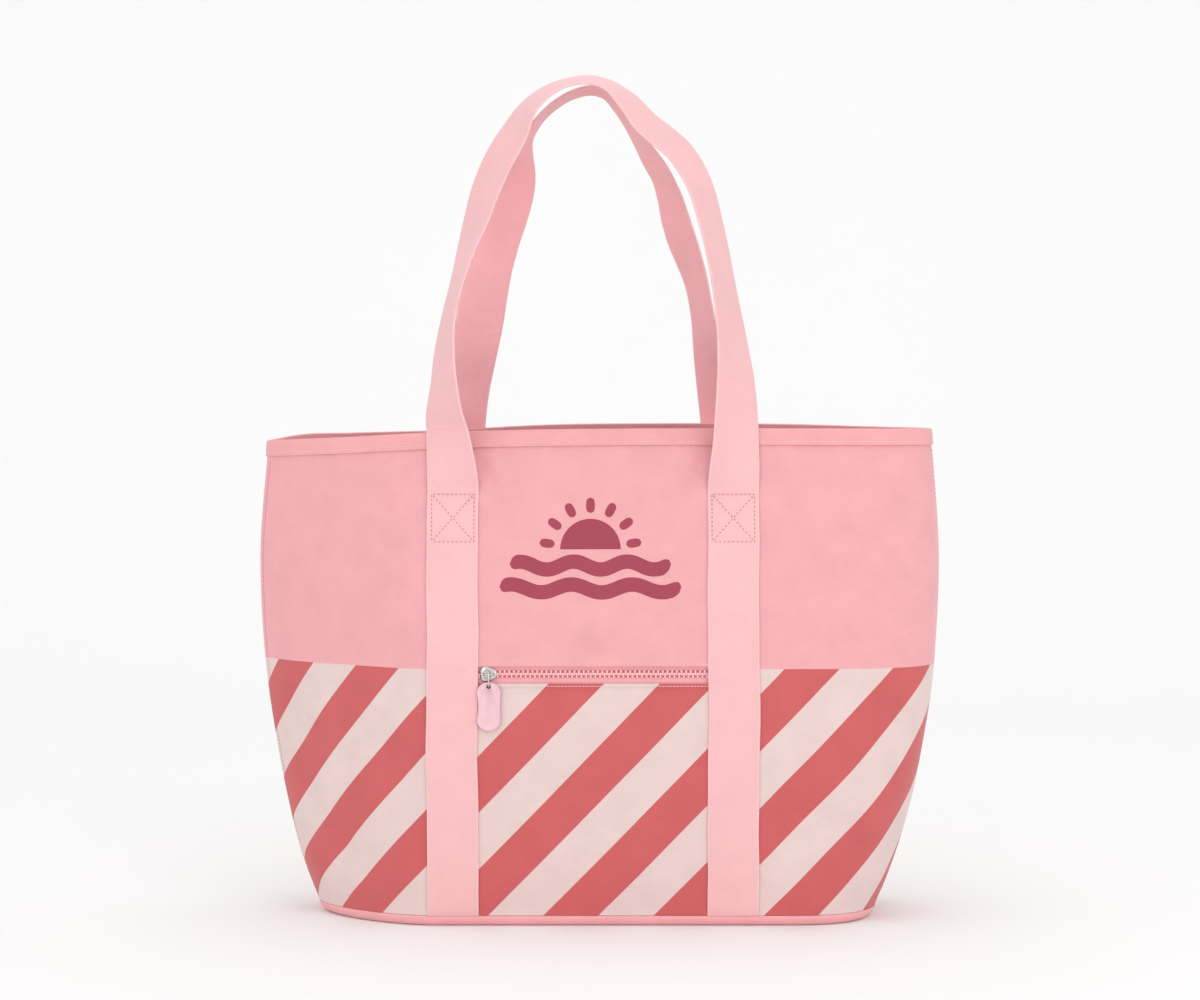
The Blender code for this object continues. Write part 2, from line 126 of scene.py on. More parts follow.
def spline(points, step):
    """Points about a step apart on a smooth curve through rows of numbers."""
    points = np.array(points, float)
    run = run_along(points[:, :3])
    count = int(run[-1] / step) + 1
    places = np.linspace(0, run[-1], count)
    return np.stack([smooth_curve(run, column)(places) for column in points.T], axis=1)


def make_object(name, points, faces, material, uv=None, sharp=40):
    mesh = bpy.data.meshes.new(name)
    mesh.from_pydata([tuple(p) for p in points], [], faces)
    mesh.materials.append(material)
    if uv is not None:
        layer = mesh.uv_layers.new(name="cloth")
        corners = np.zeros(len(mesh.loops), np.int32)
        mesh.loops.foreach_get("vertex_index", corners)
        layer.data.foreach_set("uv", np.asarray(uv, np.float32)[corners].ravel())
    mesh.validate()
    mesh.shade_smooth()
    mesh.set_sharp_from_angle(angle=math.radians(sharp))
    thing = bpy.data.objects.new(name, mesh)
    bpy.context.scene.collection.objects.link(thing)
    return thing


def skin(rings, count, closed=False, base=0):
    """Faces through rings of count points, with flat ends where the loft isn't closed."""
    faces = []
    for k in range(rings if closed else rings - 1):
        here, there = base + k * count, base + (k + 1) % rings * count
        for n in range(count):
            m = (n + 1) % count
            faces.append([here + n, here + m, there + m, there + n])
    if not closed:
        faces.append([base + n for n in range(count)][::-1])
        faces.append([base + (rings - 1) * count + n for n in range(count)])
    return faces


def run_along(places):
    """The length along a row of points, at each of them."""
    return np.concatenate([[0], np.cumsum(np.linalg.norm(np.diff(places, axis=0), axis=1))])


def unit_rows(rows):
    return rows / np.linalg.norm(rows, axis=1)[:, None]


def ring_of(count):
    """Angles at equal steps round a circle."""
    return [2 * math.pi * n / count for n in range(count)]


def finish_piece(thing, body, slot, *nodes):
    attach(thing, body)
    if nodes:
        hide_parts(*nodes)
    return thing


# The wall


def read_wall():
    """Half width and half depth of the frame's wall at each height, from its front panel."""
    rows = {}
    for vertex in frame["nodes"]["front_panel"].data.vertices:
        z = round(vertex.co.z, 4)
        width, depth = rows.get(z, (0, 0))
        rows[z] = (max(width, abs(vertex.co.x)), max(depth, abs(vertex.co.y)))
    heights = sorted(rows)
    first, second = heights[:2]
    share = first / (second - first)
    floor = [rows[first][n] - share * (rows[second][n] - rows[first][n]) for n in (0, 1)]
    table = np.array([(0, *floor)] + [(z, *rows[z]) for z in heights])
    return smooth_curve(table[:, 0], table[:, 1]), smooth_curve(table[:, 0], table[:, 2])


half_width_at, half_depth_at = read_wall()

FLAT_END = {
    (FRONT, LEFT): -0.129,
    (FRONT, RIGHT): 0.150,
    (BACK, LEFT): -0.135,
    (BACK, RIGHT): 0.135,
}
# How round the wall is from its flat stretch to a seam: 2 is an ellipse, and less is flatter.
ROUNDNESS = {
    (FRONT, LEFT): (1.55, 1.22),
    (FRONT, RIGHT): (2.5, 2.6),
    (BACK, LEFT): (2.2, 2.1),
    (BACK, RIGHT): (2.2, 2.1),
}
SEAM_SHIFT = {LEFT: 0.020, RIGHT: -0.010}
BASE_EASE_Z = 0.15  # the base's own outline turns into the wall's by this height
# How much lower or higher the rim runs than the frame's, at places across the bag.
RIM_LINE = {
    FRONT: (
        (-0.266, -0.200, -0.129, -0.060, 0.0, 0.266),
        (-0.0103, -0.0070, -0.0028, -0.0008, 0.0, 0.0),
    ),
    BACK: (
        (-0.266, -0.245, -0.200, -0.129, -0.040, 0.050, 0.150, 0.240, 0.266),
        (-0.0103, -0.0062, -0.0045, -0.0026, 0.0020, 0.0030, 0.0026, 0.0004, 0.0),
    ),
}
outline_cache = {}
rim_line = {
    side: smooth_curve(np.array(x), np.array(rise)) for side, (x, rise) in RIM_LINE.items()
}


def outline(z, side):
    """Length along the cloth, x and y of the wall's outer face at a height."""
    key = (round(float(z), 5), side)
    if key in outline_cache:
        return outline_cache[key]
    ease = smooth(z / BASE_EASE_Z)
    parts = {}
    for end in (LEFT, RIGHT):
        low, high = ROUNDNESS[side, end]
        power = 2 / (low + ease * (high - low))
        flat = FLAT_END[side, end]
        seam_y = SEAM_SHIFT[end] * ease
        turn = np.linspace(0, math.pi / 2, 161)
        x = flat + (end * half_width_at(z) - flat) * np.sin(turn) ** power
        y = seam_y + (side * half_depth_at(z) - seam_y) * np.cos(turn) ** power
        run = np.concatenate([[0], np.cumsum(np.hypot(np.diff(x), np.diff(y)))])
        parts[end] = (flat + end * run, x, y)
    joined = [np.concatenate([parts[LEFT][n][::-1], parts[RIGHT][n]]) for n in range(3)]
    outline_cache[key] = joined
    return joined


def u_of(column, z, side):
    """A column runs from -2, the left seam, to 2, the right one, and from -1 to 1 is flat."""
    along = outline(z, side)[0]
    left, right = FLAT_END[side, LEFT], FLAT_END[side, RIGHT]
    column = np.asarray(column, float)
    flat = left + (np.clip(column, -1, 1) + 1) / 2 * (right - left)
    past_left = np.clip(-column - 1, 0, 1) * (along[0] - left)
    past_right = np.clip(column - 1, 0, 1) * (along[-1] - right)
    return flat + past_left + past_right


def column_of(x, side):
    left, right = FLAT_END[side, LEFT], FLAT_END[side, RIGHT]
    return 2 * (x - left) / (right - left) - 1


WAVES = np.random.default_rng(7).uniform(-1, 1, (18, 4))
WAVE_HEIGHT = 0.00030
BULGE = 0.0016  # how far the middle of a panel stands out
BULGE_WIDTH = 0.17
GATHER_PITCH = 0.021
RIM_GATHER = 0.0007
BASE_GATHER = 0.0006
# Creases in the front panel: u, z, half width, half length, turn in degrees and depth.
CREASE_SCALE = 1.5
CREASES = (
    (-0.148, 0.3560, 0.0060, 0.016, -32, -0.0016),
    (-0.160, 0.3480, 0.0080, 0.020, -36, 0.0010),
    (-0.086, 0.3560, 0.0050, 0.014, 28, -0.0013),
    (-0.078, 0.3500, 0.0080, 0.018, 24, 0.0008),
    (0.138, 0.3600, 0.0060, 0.016, 24, -0.0012),
    (0.205, 0.3620, 0.0070, 0.018, 14, -0.0014),
    (0.232, 0.3560, 0.0080, 0.022, 10, 0.0010),
    (0.080, 0.3590, 0.0050, 0.014, -22, -0.0010),
    (-0.205, 0.0560, 0.0100, 0.030, 40, -0.0012),
    (0.190, 0.0500, 0.0100, 0.030, -36, -0.0012),
)


def near_strap(u):
    """1 under a webbing and just beside it, 0 away from it."""
    nearest = np.minimum(np.abs(u - STRAP_X[LEFT]), np.abs(u - STRAP_X[RIGHT]))
    return 1 - smooth((nearest - WEBBING_WIDTH / 2) / 0.024)


def relief(u, z, side):
    """How far the cloth stands out from the plain wall."""
    u = np.asarray(u, float)
    seam = outline(z, side)[0]
    to_seam = np.minimum(u - seam[0], seam[-1] - u)
    free = smooth(to_seam / 0.04) * smooth((RIM_Z - 0.014 - z) / 0.03) * smooth((z - 0.009) / 0.03)
    free = free * (1 - near_strap(u))
    total = np.zeros_like(u)
    for a, b, phase, size in WAVES:
        length = 0.075 + 0.055 * abs(size)
        turn = a * 2.2
        across = (u * math.cos(turn) + z * math.sin(turn)) * 2 * math.pi / length
        total += WAVE_HEIGHT * (0.6 + abs(b)) * np.sin(across + phase * math.pi)
    total += BULGE * smooth((0.5 - np.abs(u) / BULGE_WIDTH) * 2)
    creases = np.zeros_like(u)
    if side == FRONT:
        for at_u, at_z, wide, tall, turn, amount in CREASES:
            c, s = math.cos(math.radians(turn)), math.sin(math.radians(turn))
            du, dz = u - at_u, z - at_z
            fold = np.exp(-(((du * c + dz * s) / wide) ** 2) - ((dz * c - du * s) / tall) ** 2)
            creases += CREASE_SCALE * amount * fold
    below_binding = smooth((BINDING_LOW_Z - 0.001 - z) / 0.010)
    total = total * free + creases * smooth(to_seam / 0.03) * below_binding
    # the binding and the base seam gather the cloth a little
    gather = np.sin(u * 2 * math.pi / GATHER_PITCH + 2 * np.sin(u * 31)) * 0.5 + 0.5
    beside = smooth(to_seam / 0.02) * (1 - near_strap(u))
    total -= RIM_GATHER * gather * beside * np.exp(-(((z - RIM_Z + 0.016) / 0.006) ** 2))
    total -= BASE_GATHER * gather * beside * np.exp(-(((z - 0.014) / 0.006) ** 2))
    if side == FRONT:
        total = total * (1 - pocket_share(u, z)) + zip_lips(u, z)
    return total


def pocket_share(u, z):
    """1 along the zip, where the cloth is stitched flat."""
    along = smooth((u - SLIT_LEFT + 0.02) / 0.02) * smooth((SLIT_RIGHT + 0.02 - u) / 0.02)
    return along * (1 - smooth((abs(z - CHAIN_Z) - 0.012) / 0.02))


def zip_lips(u, z):
    """The folded edges above and below the zip stand a little proud."""
    along = smooth((u - SLIT_LEFT) / 0.006) * smooth((SLIT_RIGHT - u) / 0.006)
    upper = 0.0011 * math.exp(-(((z - SLIT_HIGH_Z - 0.0012) / 0.0017) ** 2))
    lower = 0.0008 * math.exp(-(((z - SLIT_LOW_Z + 0.0010) / 0.0015) ** 2))
    dent = 0.0006 * math.exp(-(((z - SLIT_LOW_Z + 0.0044) / 0.0013) ** 2))
    return along * (upper + lower - dent)


def wall_row(z, side, u, depth):
    """Points at one height, at lengths u and at depths inwards from the cloth's face."""
    along, x_all, y_all = outline(z, side)
    u = np.clip(u, along[0], along[-1])
    x = np.interp(u, along, x_all)
    y = np.interp(u, along, y_all)
    reach = 0.004
    ahead = np.clip(u + reach, along[0], along[-1])
    behind = np.clip(u - reach, along[0], along[-1])
    tx = np.interp(ahead, along, x_all) - np.interp(behind, along, x_all)
    ty = np.interp(ahead, along, y_all) - np.interp(behind, along, y_all)
    nx, ny = -side * ty, side * tx
    ending = 1 - smooth(np.minimum(u - along[0], along[-1] - u) / 0.022)
    size = np.hypot(nx, ny)
    nx = nx / size * (1 - ending) + np.sign(u) * ending
    ny = ny / size * (1 - ending)
    size = np.hypot(nx, ny)
    out = relief(u, z, side) - depth
    x_out = x + nx / size * out
    y_out = y + ny / size * out
    height = z + rim_line[side](x) * smooth((z - 0.27) / 0.11)
    return np.stack([x_out, y_out, np.broadcast_to(height, x_out.shape)], axis=1)


def place(u, z, side, lift=0.0):
    """One point on the cloth, and the way out from it."""
    pair = wall_row(z, side, np.array([u, u]), np.array([-lift, -lift - 0.01]))
    at = Vector(pair[0])
    return at, (Vector(pair[1]) - at).normalized()


def grid_rows(low, high, step, *marks):
    """Heights from low to high at most a step apart, with the marks among them."""
    stops = sorted({low, high, *[m for m in marks if low < m < high]})
    rows = []
    for start, end in zip(stops, stops[1:]):
        count = max(1, math.ceil((end - start) / step - 1e-6))
        rows += [start + (end - start) * n / count for n in range(count)]
    return np.array(rows + [high])


def panel_columns(side, flat_step=0.0028, round_count=46, marks=()):
    flat = grid_rows(FLAT_END[side, LEFT], FLAT_END[side, RIGHT], flat_step, *marks)
    flat = column_of(flat, side)
    bend = 1 + np.arange(1, round_count + 1) / round_count
    return np.concatenate([-bend[::-1], flat, bend])


def layer(name, side, outer, inner, columns, rows, material, hole=None):
    """A sheet of cloth or foam as a closed solid between two depths, with an optional hole."""
    rings = []
    uv = []
    for depth in (outer, inner):
        for z in rows:
            u = u_of(columns, z, side)
            deep = depth(u, z) if callable(depth) else np.full(len(u), depth)
            rings.append(wall_row(z, side, u, deep))
            uv.append(np.stack([u, np.full(len(u), z)], axis=1))
    count = len(columns)
    tall = len(rows)
    filled = np.ones((tall + 1, count + 1), bool)
    filled[0] = filled[-1] = False
    filled[:, 0] = filled[:, -1] = False
    if hole:
        left, right, low, high = hole
        for j in range(tall - 1):
            inside_z = low - 1e-6 < rows[j] and rows[j + 1] < high + 1e-6
            if not inside_z:
                continue
            for i in range(count - 1):
                middle = (u_of(columns[i], rows[j], side) + u_of(columns[i + 1], rows[j], side)) / 2
                if left < middle < right:
                    filled[j + 1, i + 1] = False
    faces = []

    def corner(j, i, k):
        return (k * tall + j) * count + i

    flip = side == BACK
    for j in range(tall - 1):
        for i in range(count - 1):
            if not filled[j + 1, i + 1]:
                continue
            ring = [(j, i), (j, i + 1), (j + 1, i + 1), (j + 1, i)]
            if flip:
                ring.reverse()
            faces.append([corner(*p, 0) for p in ring])
            faces.append([corner(*p, 1) for p in reversed(ring)])
            sides = {(-1, 0): (0, 1), (0, 1): (1, 2), (1, 0): (2, 3), (0, -1): (3, 0)}
            plain = [(j, i), (j, i + 1), (j + 1, i + 1), (j + 1, i)]
            for (dj, di), (a, b) in sides.items():
                if filled[j + 1 + dj, i + 1 + di]:
                    continue
                pairs = ((plain[a], 0), (plain[a], 1), (plain[b], 1), (plain[b], 0))
                edge = [corner(*p, k) for p, k in pairs]
                faces.append(edge[::-1] if flip else edge)
    points = np.concatenate(rings)
    return make_object(name, points, faces, material, np.concatenate(uv))


# Materials


class Graph:
    """A material's nodes, with short calls for the sums that the patterns need."""

    def __init__(self, name, **settings):
        self.material = bpy.data.materials.new(name)
        self.material.use_nodes = True
        self.tree = self.material.node_tree
        self.shader = self.tree.nodes["Principled BSDF"]
        self.shade(**settings)

    def node(self, kind, **settings):
        made = self.tree.nodes.new(kind)
        for key, value in settings.items():
            setattr(made, key, value)
        return made

    def put(self, socket, value):
        if isinstance(value, bpy.types.NodeSocket):
            self.tree.links.new(value, socket)
        elif isinstance(value, tuple) and len(value) == 3 and len(socket.default_value) == 4:
            socket.default_value = (*value, 1.0)
        else:
            socket.default_value = value

    def math(self, operation, *values):
        made = self.node("ShaderNodeMath", operation=operation)
        for socket, value in zip(made.inputs, values):
            self.put(socket, value)
        return made.outputs[0]

    def times(self, first, second):
        return self.math("MULTIPLY", first, second)

    def plus(self, first, second):
        return self.math("ADD", first, second)

    def scaled(self, colour, share):
        made = self.node("ShaderNodeVectorMath", operation="SCALE")
        self.put(made.inputs[0], colour)
        self.put(made.inputs["Scale"], share)
        return made.outputs[0]

    def shade(self, **values):
        """Puts values or links on the shader's sockets."""
        for socket, value in values.items():
            self.put(self.shader.inputs[socket.replace("_", " ")], value)

    def span(self, value, low, high, to_low=0.0, to_high=1.0):
        """Value from low to high, turned into to_low to to_high and clamped."""
        made = self.node("ShaderNodeMapRange")
        for socket, number in zip(made.inputs, (value, low, high, to_low, to_high)):
            self.put(socket, number)
        return made.outputs[0]

    def mix(self, share, first, second):
        made = self.node("ShaderNodeMix", data_type="RGBA")
        self.put(made.inputs["Factor"], share)
        self.put(made.inputs[6], first)
        self.put(made.inputs[7], second)
        return made.outputs[2]

    def cloth_uv(self):
        uv = self.node("ShaderNodeUVMap", uv_map="cloth")
        parts = self.node("ShaderNodeSeparateXYZ")
        self.put(parts.inputs[0], uv.outputs[0])
        return uv.outputs[0], parts.outputs[0], parts.outputs[1]

    def noise(self, vector, scale, detail=3.0):
        made = self.node("ShaderNodeTexNoise")
        self.put(made.inputs["Vector"], vector)
        self.put(made.inputs["Scale"], scale)
        self.put(made.inputs["Detail"], detail)
        return made.outputs[0]

    def waves(self, value, pitch):
        return self.math("SINE", self.times(value, 2 * math.pi / pitch))

    def bump(self, height, distance, strength=1.0):
        made = self.node("ShaderNodeBump")
        self.put(made.inputs["Height"], height)
        self.put(made.inputs["Distance"], distance)
        self.put(made.inputs["Strength"], strength)
        self.shade(Normal=made.outputs[0])


def linear(red, green, blue):
    """A colour given as it looks on a screen, 0 to 255, in Blender's linear values."""
    return tuple(
        c / 12.92 if c <= 0.04045 else ((c + 0.055) / 1.055) ** 2.4
        for c in (red / 255, green / 255, blue / 255)
    )


WEAVE_PITCH = 0.00058

PINK = linear(232, 167, 171)
DARK_STRIPE = linear(201, 96, 97)
LIGHT_STRIPE = linear(224, 201, 197)
BINDING_PINK = linear(233, 166, 168)
WEBBING_PINK = linear(238, 185, 187)
SELVEDGE_PINK = linear(242, 198, 199)
# The lining's pink, much like the outer cloth's, painted darker with the shade that falls inside the
# bag.
LINING_PINK_WITH_PAINTED_SHADE = linear(214, 132, 142)
# Painted light: the rear handle's webbing is a lighter copy of the webbing pink, standing in for light
# that shines through the webbing and bounces between the handles.
REAR_WEBBING_PAINTED_LIGHT_PINK = linear(250, 184, 188)
TAPE_PINK = linear(238, 172, 175)
# Painted shade on the tape between and under the zip's teeth.
TAPE_PAINTED_SHADE = linear(222, 134, 142)
TOOTH_PINK = linear(248, 182, 186)
TAB_PINK = linear(233, 191, 200)
PLUM = linear(163, 70, 87)
THREAD = linear(208, 122, 130)
PALE_THREAD = linear(244, 218, 216)


def woven(name, pick_colour, roughness=0.82, sheen=0.25, pitch=WEAVE_PITCH, depth=0.00006):
    """Plain-woven cloth: crossing threads in the bump, and faint streaks and mottling."""
    graph = Graph(name, Roughness=roughness, Sheen_Weight=sheen, Sheen_Roughness=0.45)
    graph.shade(Specular_IOR_Level=0.25)
    vector, u, v = graph.cloth_uv()
    threads = graph.times(graph.waves(u, pitch), graph.waves(v, pitch))
    streaks = graph.node("ShaderNodeMapping")
    graph.put(streaks.inputs["Vector"], vector)
    streaks.inputs["Scale"].default_value = (1.0, 14.0, 1.0)
    streaky = graph.noise(streaks.outputs[0], 90, 2.0)
    mottle = graph.noise(vector, 38, 4.0)
    fine = graph.noise(vector, 900, 2.0)
    tone = graph.plus(graph.times(streaky, 0.35), graph.times(mottle, 0.65))
    graph.shade(
        Base_Color=graph.scaled(pick_colour(graph, u, v), graph.span(tone, 0.3, 0.7, 0.93, 1.04)),
        Roughness=graph.span(fine, 0.3, 0.7, roughness - 0.05, roughness + 0.07),
    )
    graph.bump(graph.plus(graph.times(threads, 0.5), graph.times(fine, 0.5)), depth, 0.8)
    return graph.material


def plain(colour):
    return lambda graph, u, v: graph.mix(0.0, colour, colour)


def stripes(graph, u, v):
    """Diagonal coral bands on cream, below the plain pink upper part."""
    slanted = graph.math("SUBTRACT", v, graph.times(u, STRIPE_SLOPE))
    turns = graph.math("DIVIDE", graph.math("SUBTRACT", slanted, STRIPE_START), STRIPE_PERIOD)
    centred = graph.math("SUBTRACT", graph.math("FRACT", graph.plus(turns, 0.25)), 0.5)
    share = graph.span(graph.math("ABSOLUTE", centred), 0.25 - STRIPE_BLUR, 0.25 + STRIPE_BLUR)
    striped = graph.mix(share, DARK_STRIPE, LIGHT_STRIPE)
    above = graph.span(v, STRIPE_TOP_Z - 0.0003, STRIPE_TOP_Z + 0.0003)
    return graph.mix(above, striped, PINK)


def tape_colour(graph, u, v):
    """Zip tape, darker along the teeth, as painted shade between and under them."""
    from_chain = graph.math("ABSOLUTE", graph.math("SUBTRACT", v, CHAIN_Z))
    return graph.mix(graph.span(from_chain, 0.0027, 0.0031), TAPE_PAINTED_SHADE, TAPE_PINK)


def webbing_material(name, body):
    """Twill webbing: slanted ribs, a lighter selvedge and a soft sheen."""
    graph = Graph(name, Roughness=0.7, Sheen_Weight=0.35, Sheen_Roughness=0.4)
    graph.shade(Specular_IOR_Level=0.3)
    vector, u, v = graph.cloth_uv()
    ribs = graph.waves(graph.plus(u, graph.times(v, 0.6)), 0.0013)
    picks = graph.waves(v, 0.0008)
    rows = graph.waves(v, 0.0018)
    fine = graph.noise(vector, 1100, 2.0)
    mottle = graph.noise(vector, 30, 3.0)
    from_edge = graph.math("SUBTRACT", WEBBING_WIDTH / 2, graph.math("ABSOLUTE", u))
    selvedge = graph.span(from_edge, 0.0011, 0.0017, 1.0, 0.0)
    inner_side = graph.span(from_edge, 0.0017, 0.0021)
    groove = graph.times(inner_side, graph.span(from_edge, 0.0028, 0.0023))
    rib_tone = graph.span(graph.times(ribs, rows), -1.0, 1.0, 0.955, 1.025)
    tone = graph.times(rib_tone, graph.span(mottle, 0.3, 0.7, 0.97, 1.02))
    graph.shade(
        Base_Color=graph.scaled(graph.mix(graph.times(selvedge, 0.7), body, SELVEDGE_PINK), tone),
        Roughness=graph.span(fine, 0.3, 0.7, 0.62, 0.8),
    )
    height = graph.plus(graph.times(ribs, 0.45), graph.times(picks, 0.2))
    height = graph.plus(height, graph.times(rows, 0.35))
    height = graph.plus(height, graph.times(fine, 0.4))
    graph.bump(graph.math("SUBTRACT", height, groove), 0.00012, 0.8)
    return graph.material


def moulded(name, colour, roughness, specular=0.5, grain=0.00003, metallic=0.0, coat=0.0):
    """Plastic, rubber or metal: small colour and gloss changes and a fine grain."""
    graph = Graph(name, Metallic=metallic, Coat_Weight=coat)
    graph.shade(Specular_IOR_Level=specular)
    coordinates = graph.node("ShaderNodeTexCoord").outputs["Object"]
    fine = graph.noise(coordinates, 2600, 3.0)
    broad = graph.noise(coordinates, 160, 3.0)
    darker = tuple(c * 0.93 for c in colour)
    graph.shade(
        Base_Color=graph.mix(graph.span(broad, 0.35, 0.65), darker, colour),
        Roughness=graph.span(broad, 0.3, 0.7, roughness * 0.85, roughness * 1.2),
    )
    graph.bump(fine, grain, 0.6)
    return graph.material


def thread_material(name, colour):
    """Twisted sewing thread."""
    graph = Graph(name, Roughness=0.6, Sheen_Weight=0.2)
    coordinates = graph.node("ShaderNodeTexCoord").outputs["Object"]
    fine = graph.noise(coordinates, 3200, 2.0)
    darker = tuple(c * 0.9 for c in colour)
    graph.shade(Base_Color=graph.mix(fine, darker, colour))
    graph.bump(fine, 0.00006, 0.7)
    return graph.material


MATERIALS = {
    "cloth": woven("striped_cloth", stripes),
    # Painted light: the base cloth's pink is set a little lighter to make up for the shade it gets low
    # by the floor.
    "base": woven("base_cloth", plain(linear(240, 172, 175))),
    "binding": woven("binding_tape", plain(BINDING_PINK), pitch=0.0007),
    # Lining: its pink holds painted shade.
    "lining": woven("lining_with_painted_shade", plain(LINING_PINK_WITH_PAINTED_SHADE), roughness=0.68, sheen=0.15, pitch=0.0004, depth=0.00003),
    "foam": moulded("foam_sheet", linear(240, 240, 238), 0.95, 0.1, 0.0001),
    "board": moulded("base_stiffener", linear(236, 236, 232), 0.5, 0.4, 0.00002),
    "webbing": webbing_material("webbing_twill", WEBBING_PINK),
    # The rear handle's webbing carries painted light: the same twill in a lighter pink.
    "rear_webbing": webbing_material("rear_webbing_twill_painted_light", REAR_WEBBING_PAINTED_LIGHT_PINK),
    "tape": woven("zip_tape", tape_colour, pitch=0.0009, depth=0.0001),
    "tooth": moulded("zip_plastic", TOOTH_PINK, 0.24, 0.5, coat=0.3),
    "metal": moulded("nickel", (0.60, 0.585, 0.57), 0.18, 0.5, 0.00001, metallic=1.0),
    "tab": moulded("pull_rubber", TAB_PINK, 0.42, 0.4, 0.00002),
    "thread": thread_material("pink_thread", THREAD),
    "pale_thread": thread_material("pale_thread", PALE_THREAD),
    "print": woven("plum_print", plain(PLUM), roughness=0.75, sheen=0.1),
}


# Body


def padding_depth(side):
    def depth(u, z):
        room = POCKET_ROOM * min(1, max(0, (STRAP_TOP_Z - z) / (STRAP_TOP_Z - POCKET_FREE_Z)))
        return np.full(len(u), PANEL_THICK + GAP + (room if side == FRONT else 0))

    return depth


def lining_depth(side):
    def depth(u, z):
        share = min(1, max(0, (BINDING_LOW_Z - z) / (BINDING_LOW_Z - PADDING_TOP_Z)))
        return padding_depth(side)(u, z) + (PADDING_THICK + GAP) * share

    return depth


def deeper(depth, amount):
    return lambda u, z: depth(u, z) + amount


def make_walls():
    """Each side's cloth, foam and lining."""
    step = 0.0028
    hidden_step = 0.006
    slit_rows = [SLIT_LOW_Z - 0.0062 + 0.0008 * n for n in range(9)]
    slit_rows += [SLIT_HIGH_Z + 0.0008 * n for n in range(8)]
    coarse = grid_rows(BASE_SEAM_Z, RIM_Z, hidden_step)
    for side, word in ((FRONT, "front"), (BACK, "back")):
        marks = (SLIT_LOW_Z, SLIT_HIGH_Z, *slit_rows) if side == FRONT else ()
        rows = grid_rows(BASE_SEAM_Z, RIM_Z, step, *marks)
        ends = (SLIT_LEFT, SLIT_RIGHT) if side == FRONT else ()
        columns = panel_columns(side, step, 46, ends)
        hole = (SLIT_LEFT, SLIT_RIGHT, SLIT_LOW_Z, SLIT_HIGH_Z) if side == FRONT else None
        panel = layer(word + "_cloth", side, 0, PANEL_THICK, columns, rows, MATERIALS["cloth"], hole)
        finish_piece(panel, "bag", "outer_fabric", word + "_panel")
        columns = panel_columns(side, hidden_step, 24)
        depth = padding_depth(side)
        rows = grid_rows(BASE_SEAM_Z - 0.002, PADDING_TOP_Z, hidden_step)
        inner = deeper(depth, PADDING_THICK)
        pad = layer(word + "_foam", side, depth, inner, columns, rows, MATERIALS["foam"])
        finish_piece(pad, "bag", "foam", word + "_padding")
        depth = lining_depth(side)
        inner = deeper(depth, LINING_THICK)
        lining = layer(word + "_inner", side, depth, inner, columns, coarse, MATERIALS["lining"])
        finish_piece(lining, "bag", "lining_fabric", word + "_lining")


PUCKER_PITCH = 0.0135


def ring_round(z, depth, ripple=0.0):
    """Points all the way round the bag at one height, from the left seam by the front."""
    found = []
    for side, order in ((FRONT, 1), (BACK, -1)):
        columns = panel_columns(side, 0.004, 44)[::order]
        u = u_of(columns, z, side)
        pucker = np.sin(u * 2 * math.pi / PUCKER_PITCH + 3 * np.sin(u * 23)) + 0.3 * np.sin(u * 710)
        deep = depth - ripple * pucker
        found.append(np.column_stack([wall_row(z, side, u, deep), u])[:-1])
    return np.concatenate(found)


def loft_rings(name, rings, material, closed, heights):
    """Skins rings of equal length. A closed loft runs back to its first ring."""
    count = len(rings[0])
    points = np.concatenate([ring[:, :3] for ring in rings])
    uv = [np.column_stack([ring[:, 3], np.full(count, h)]) for ring, h in zip(rings, heights)]
    faces = skin(len(rings), count, closed)
    return make_object(name, points, faces, material, np.concatenate(uv), sharp=50)


def make_binding():
    """Tape folded over the rim, a little gathered. Its profile is depth, height and ripple."""
    outer = -GAP - BINDING_THICK
    inner = PANEL_THICK + GAP + LINING_THICK + GAP + BINDING_THICK
    middle = (outer + inner) / 2
    half = (inner - outer) / 2
    low = BINDING_LOW_Z
    profile = [(outer - 0.0001, low, 0.00018), (outer - 0.0003, low + 0.0012, 0.00018)]
    profile += [(outer + 0.0001, low + 0.0030, 0.00010), (outer - 0.0003, low + 0.0060, 0.00014)]
    profile += [(outer - 0.0002, RIM_Z - 0.0016, 0.00008)]
    for step in range(1, 8):
        turn = math.pi * step / 8
        profile.append((middle - half * math.cos(turn), RIM_Z + 0.0013 * math.sin(turn), 0.00004))
    profile += [(inner + 0.0001, RIM_Z - 0.0020, 0.00006), (inner + 0.0002, low + 0.0040, 0.0001)]
    profile += [(inner, low, 0.00012), (inner - BINDING_THICK, low + 0.0001, 0.0)]
    profile += [(inner - BINDING_THICK, RIM_Z + 0.0001, 0.0)]
    profile += [(outer + BINDING_THICK, RIM_Z + 0.0001, 0.0), (outer + BINDING_THICK, low + 0.0001, 0.0)]
    rings = [ring_round(z, depth, ripple) for depth, z, ripple in profile]
    heights = np.cumsum([0] + [math.dist(a[:2], b[:2]) for a, b in zip(profile, profile[1:])])
    tape = loft_rings("rim_tape", rings, MATERIALS["binding"], True, heights)
    finish_piece(tape, "bag", "binding_tape", "rim_binding")


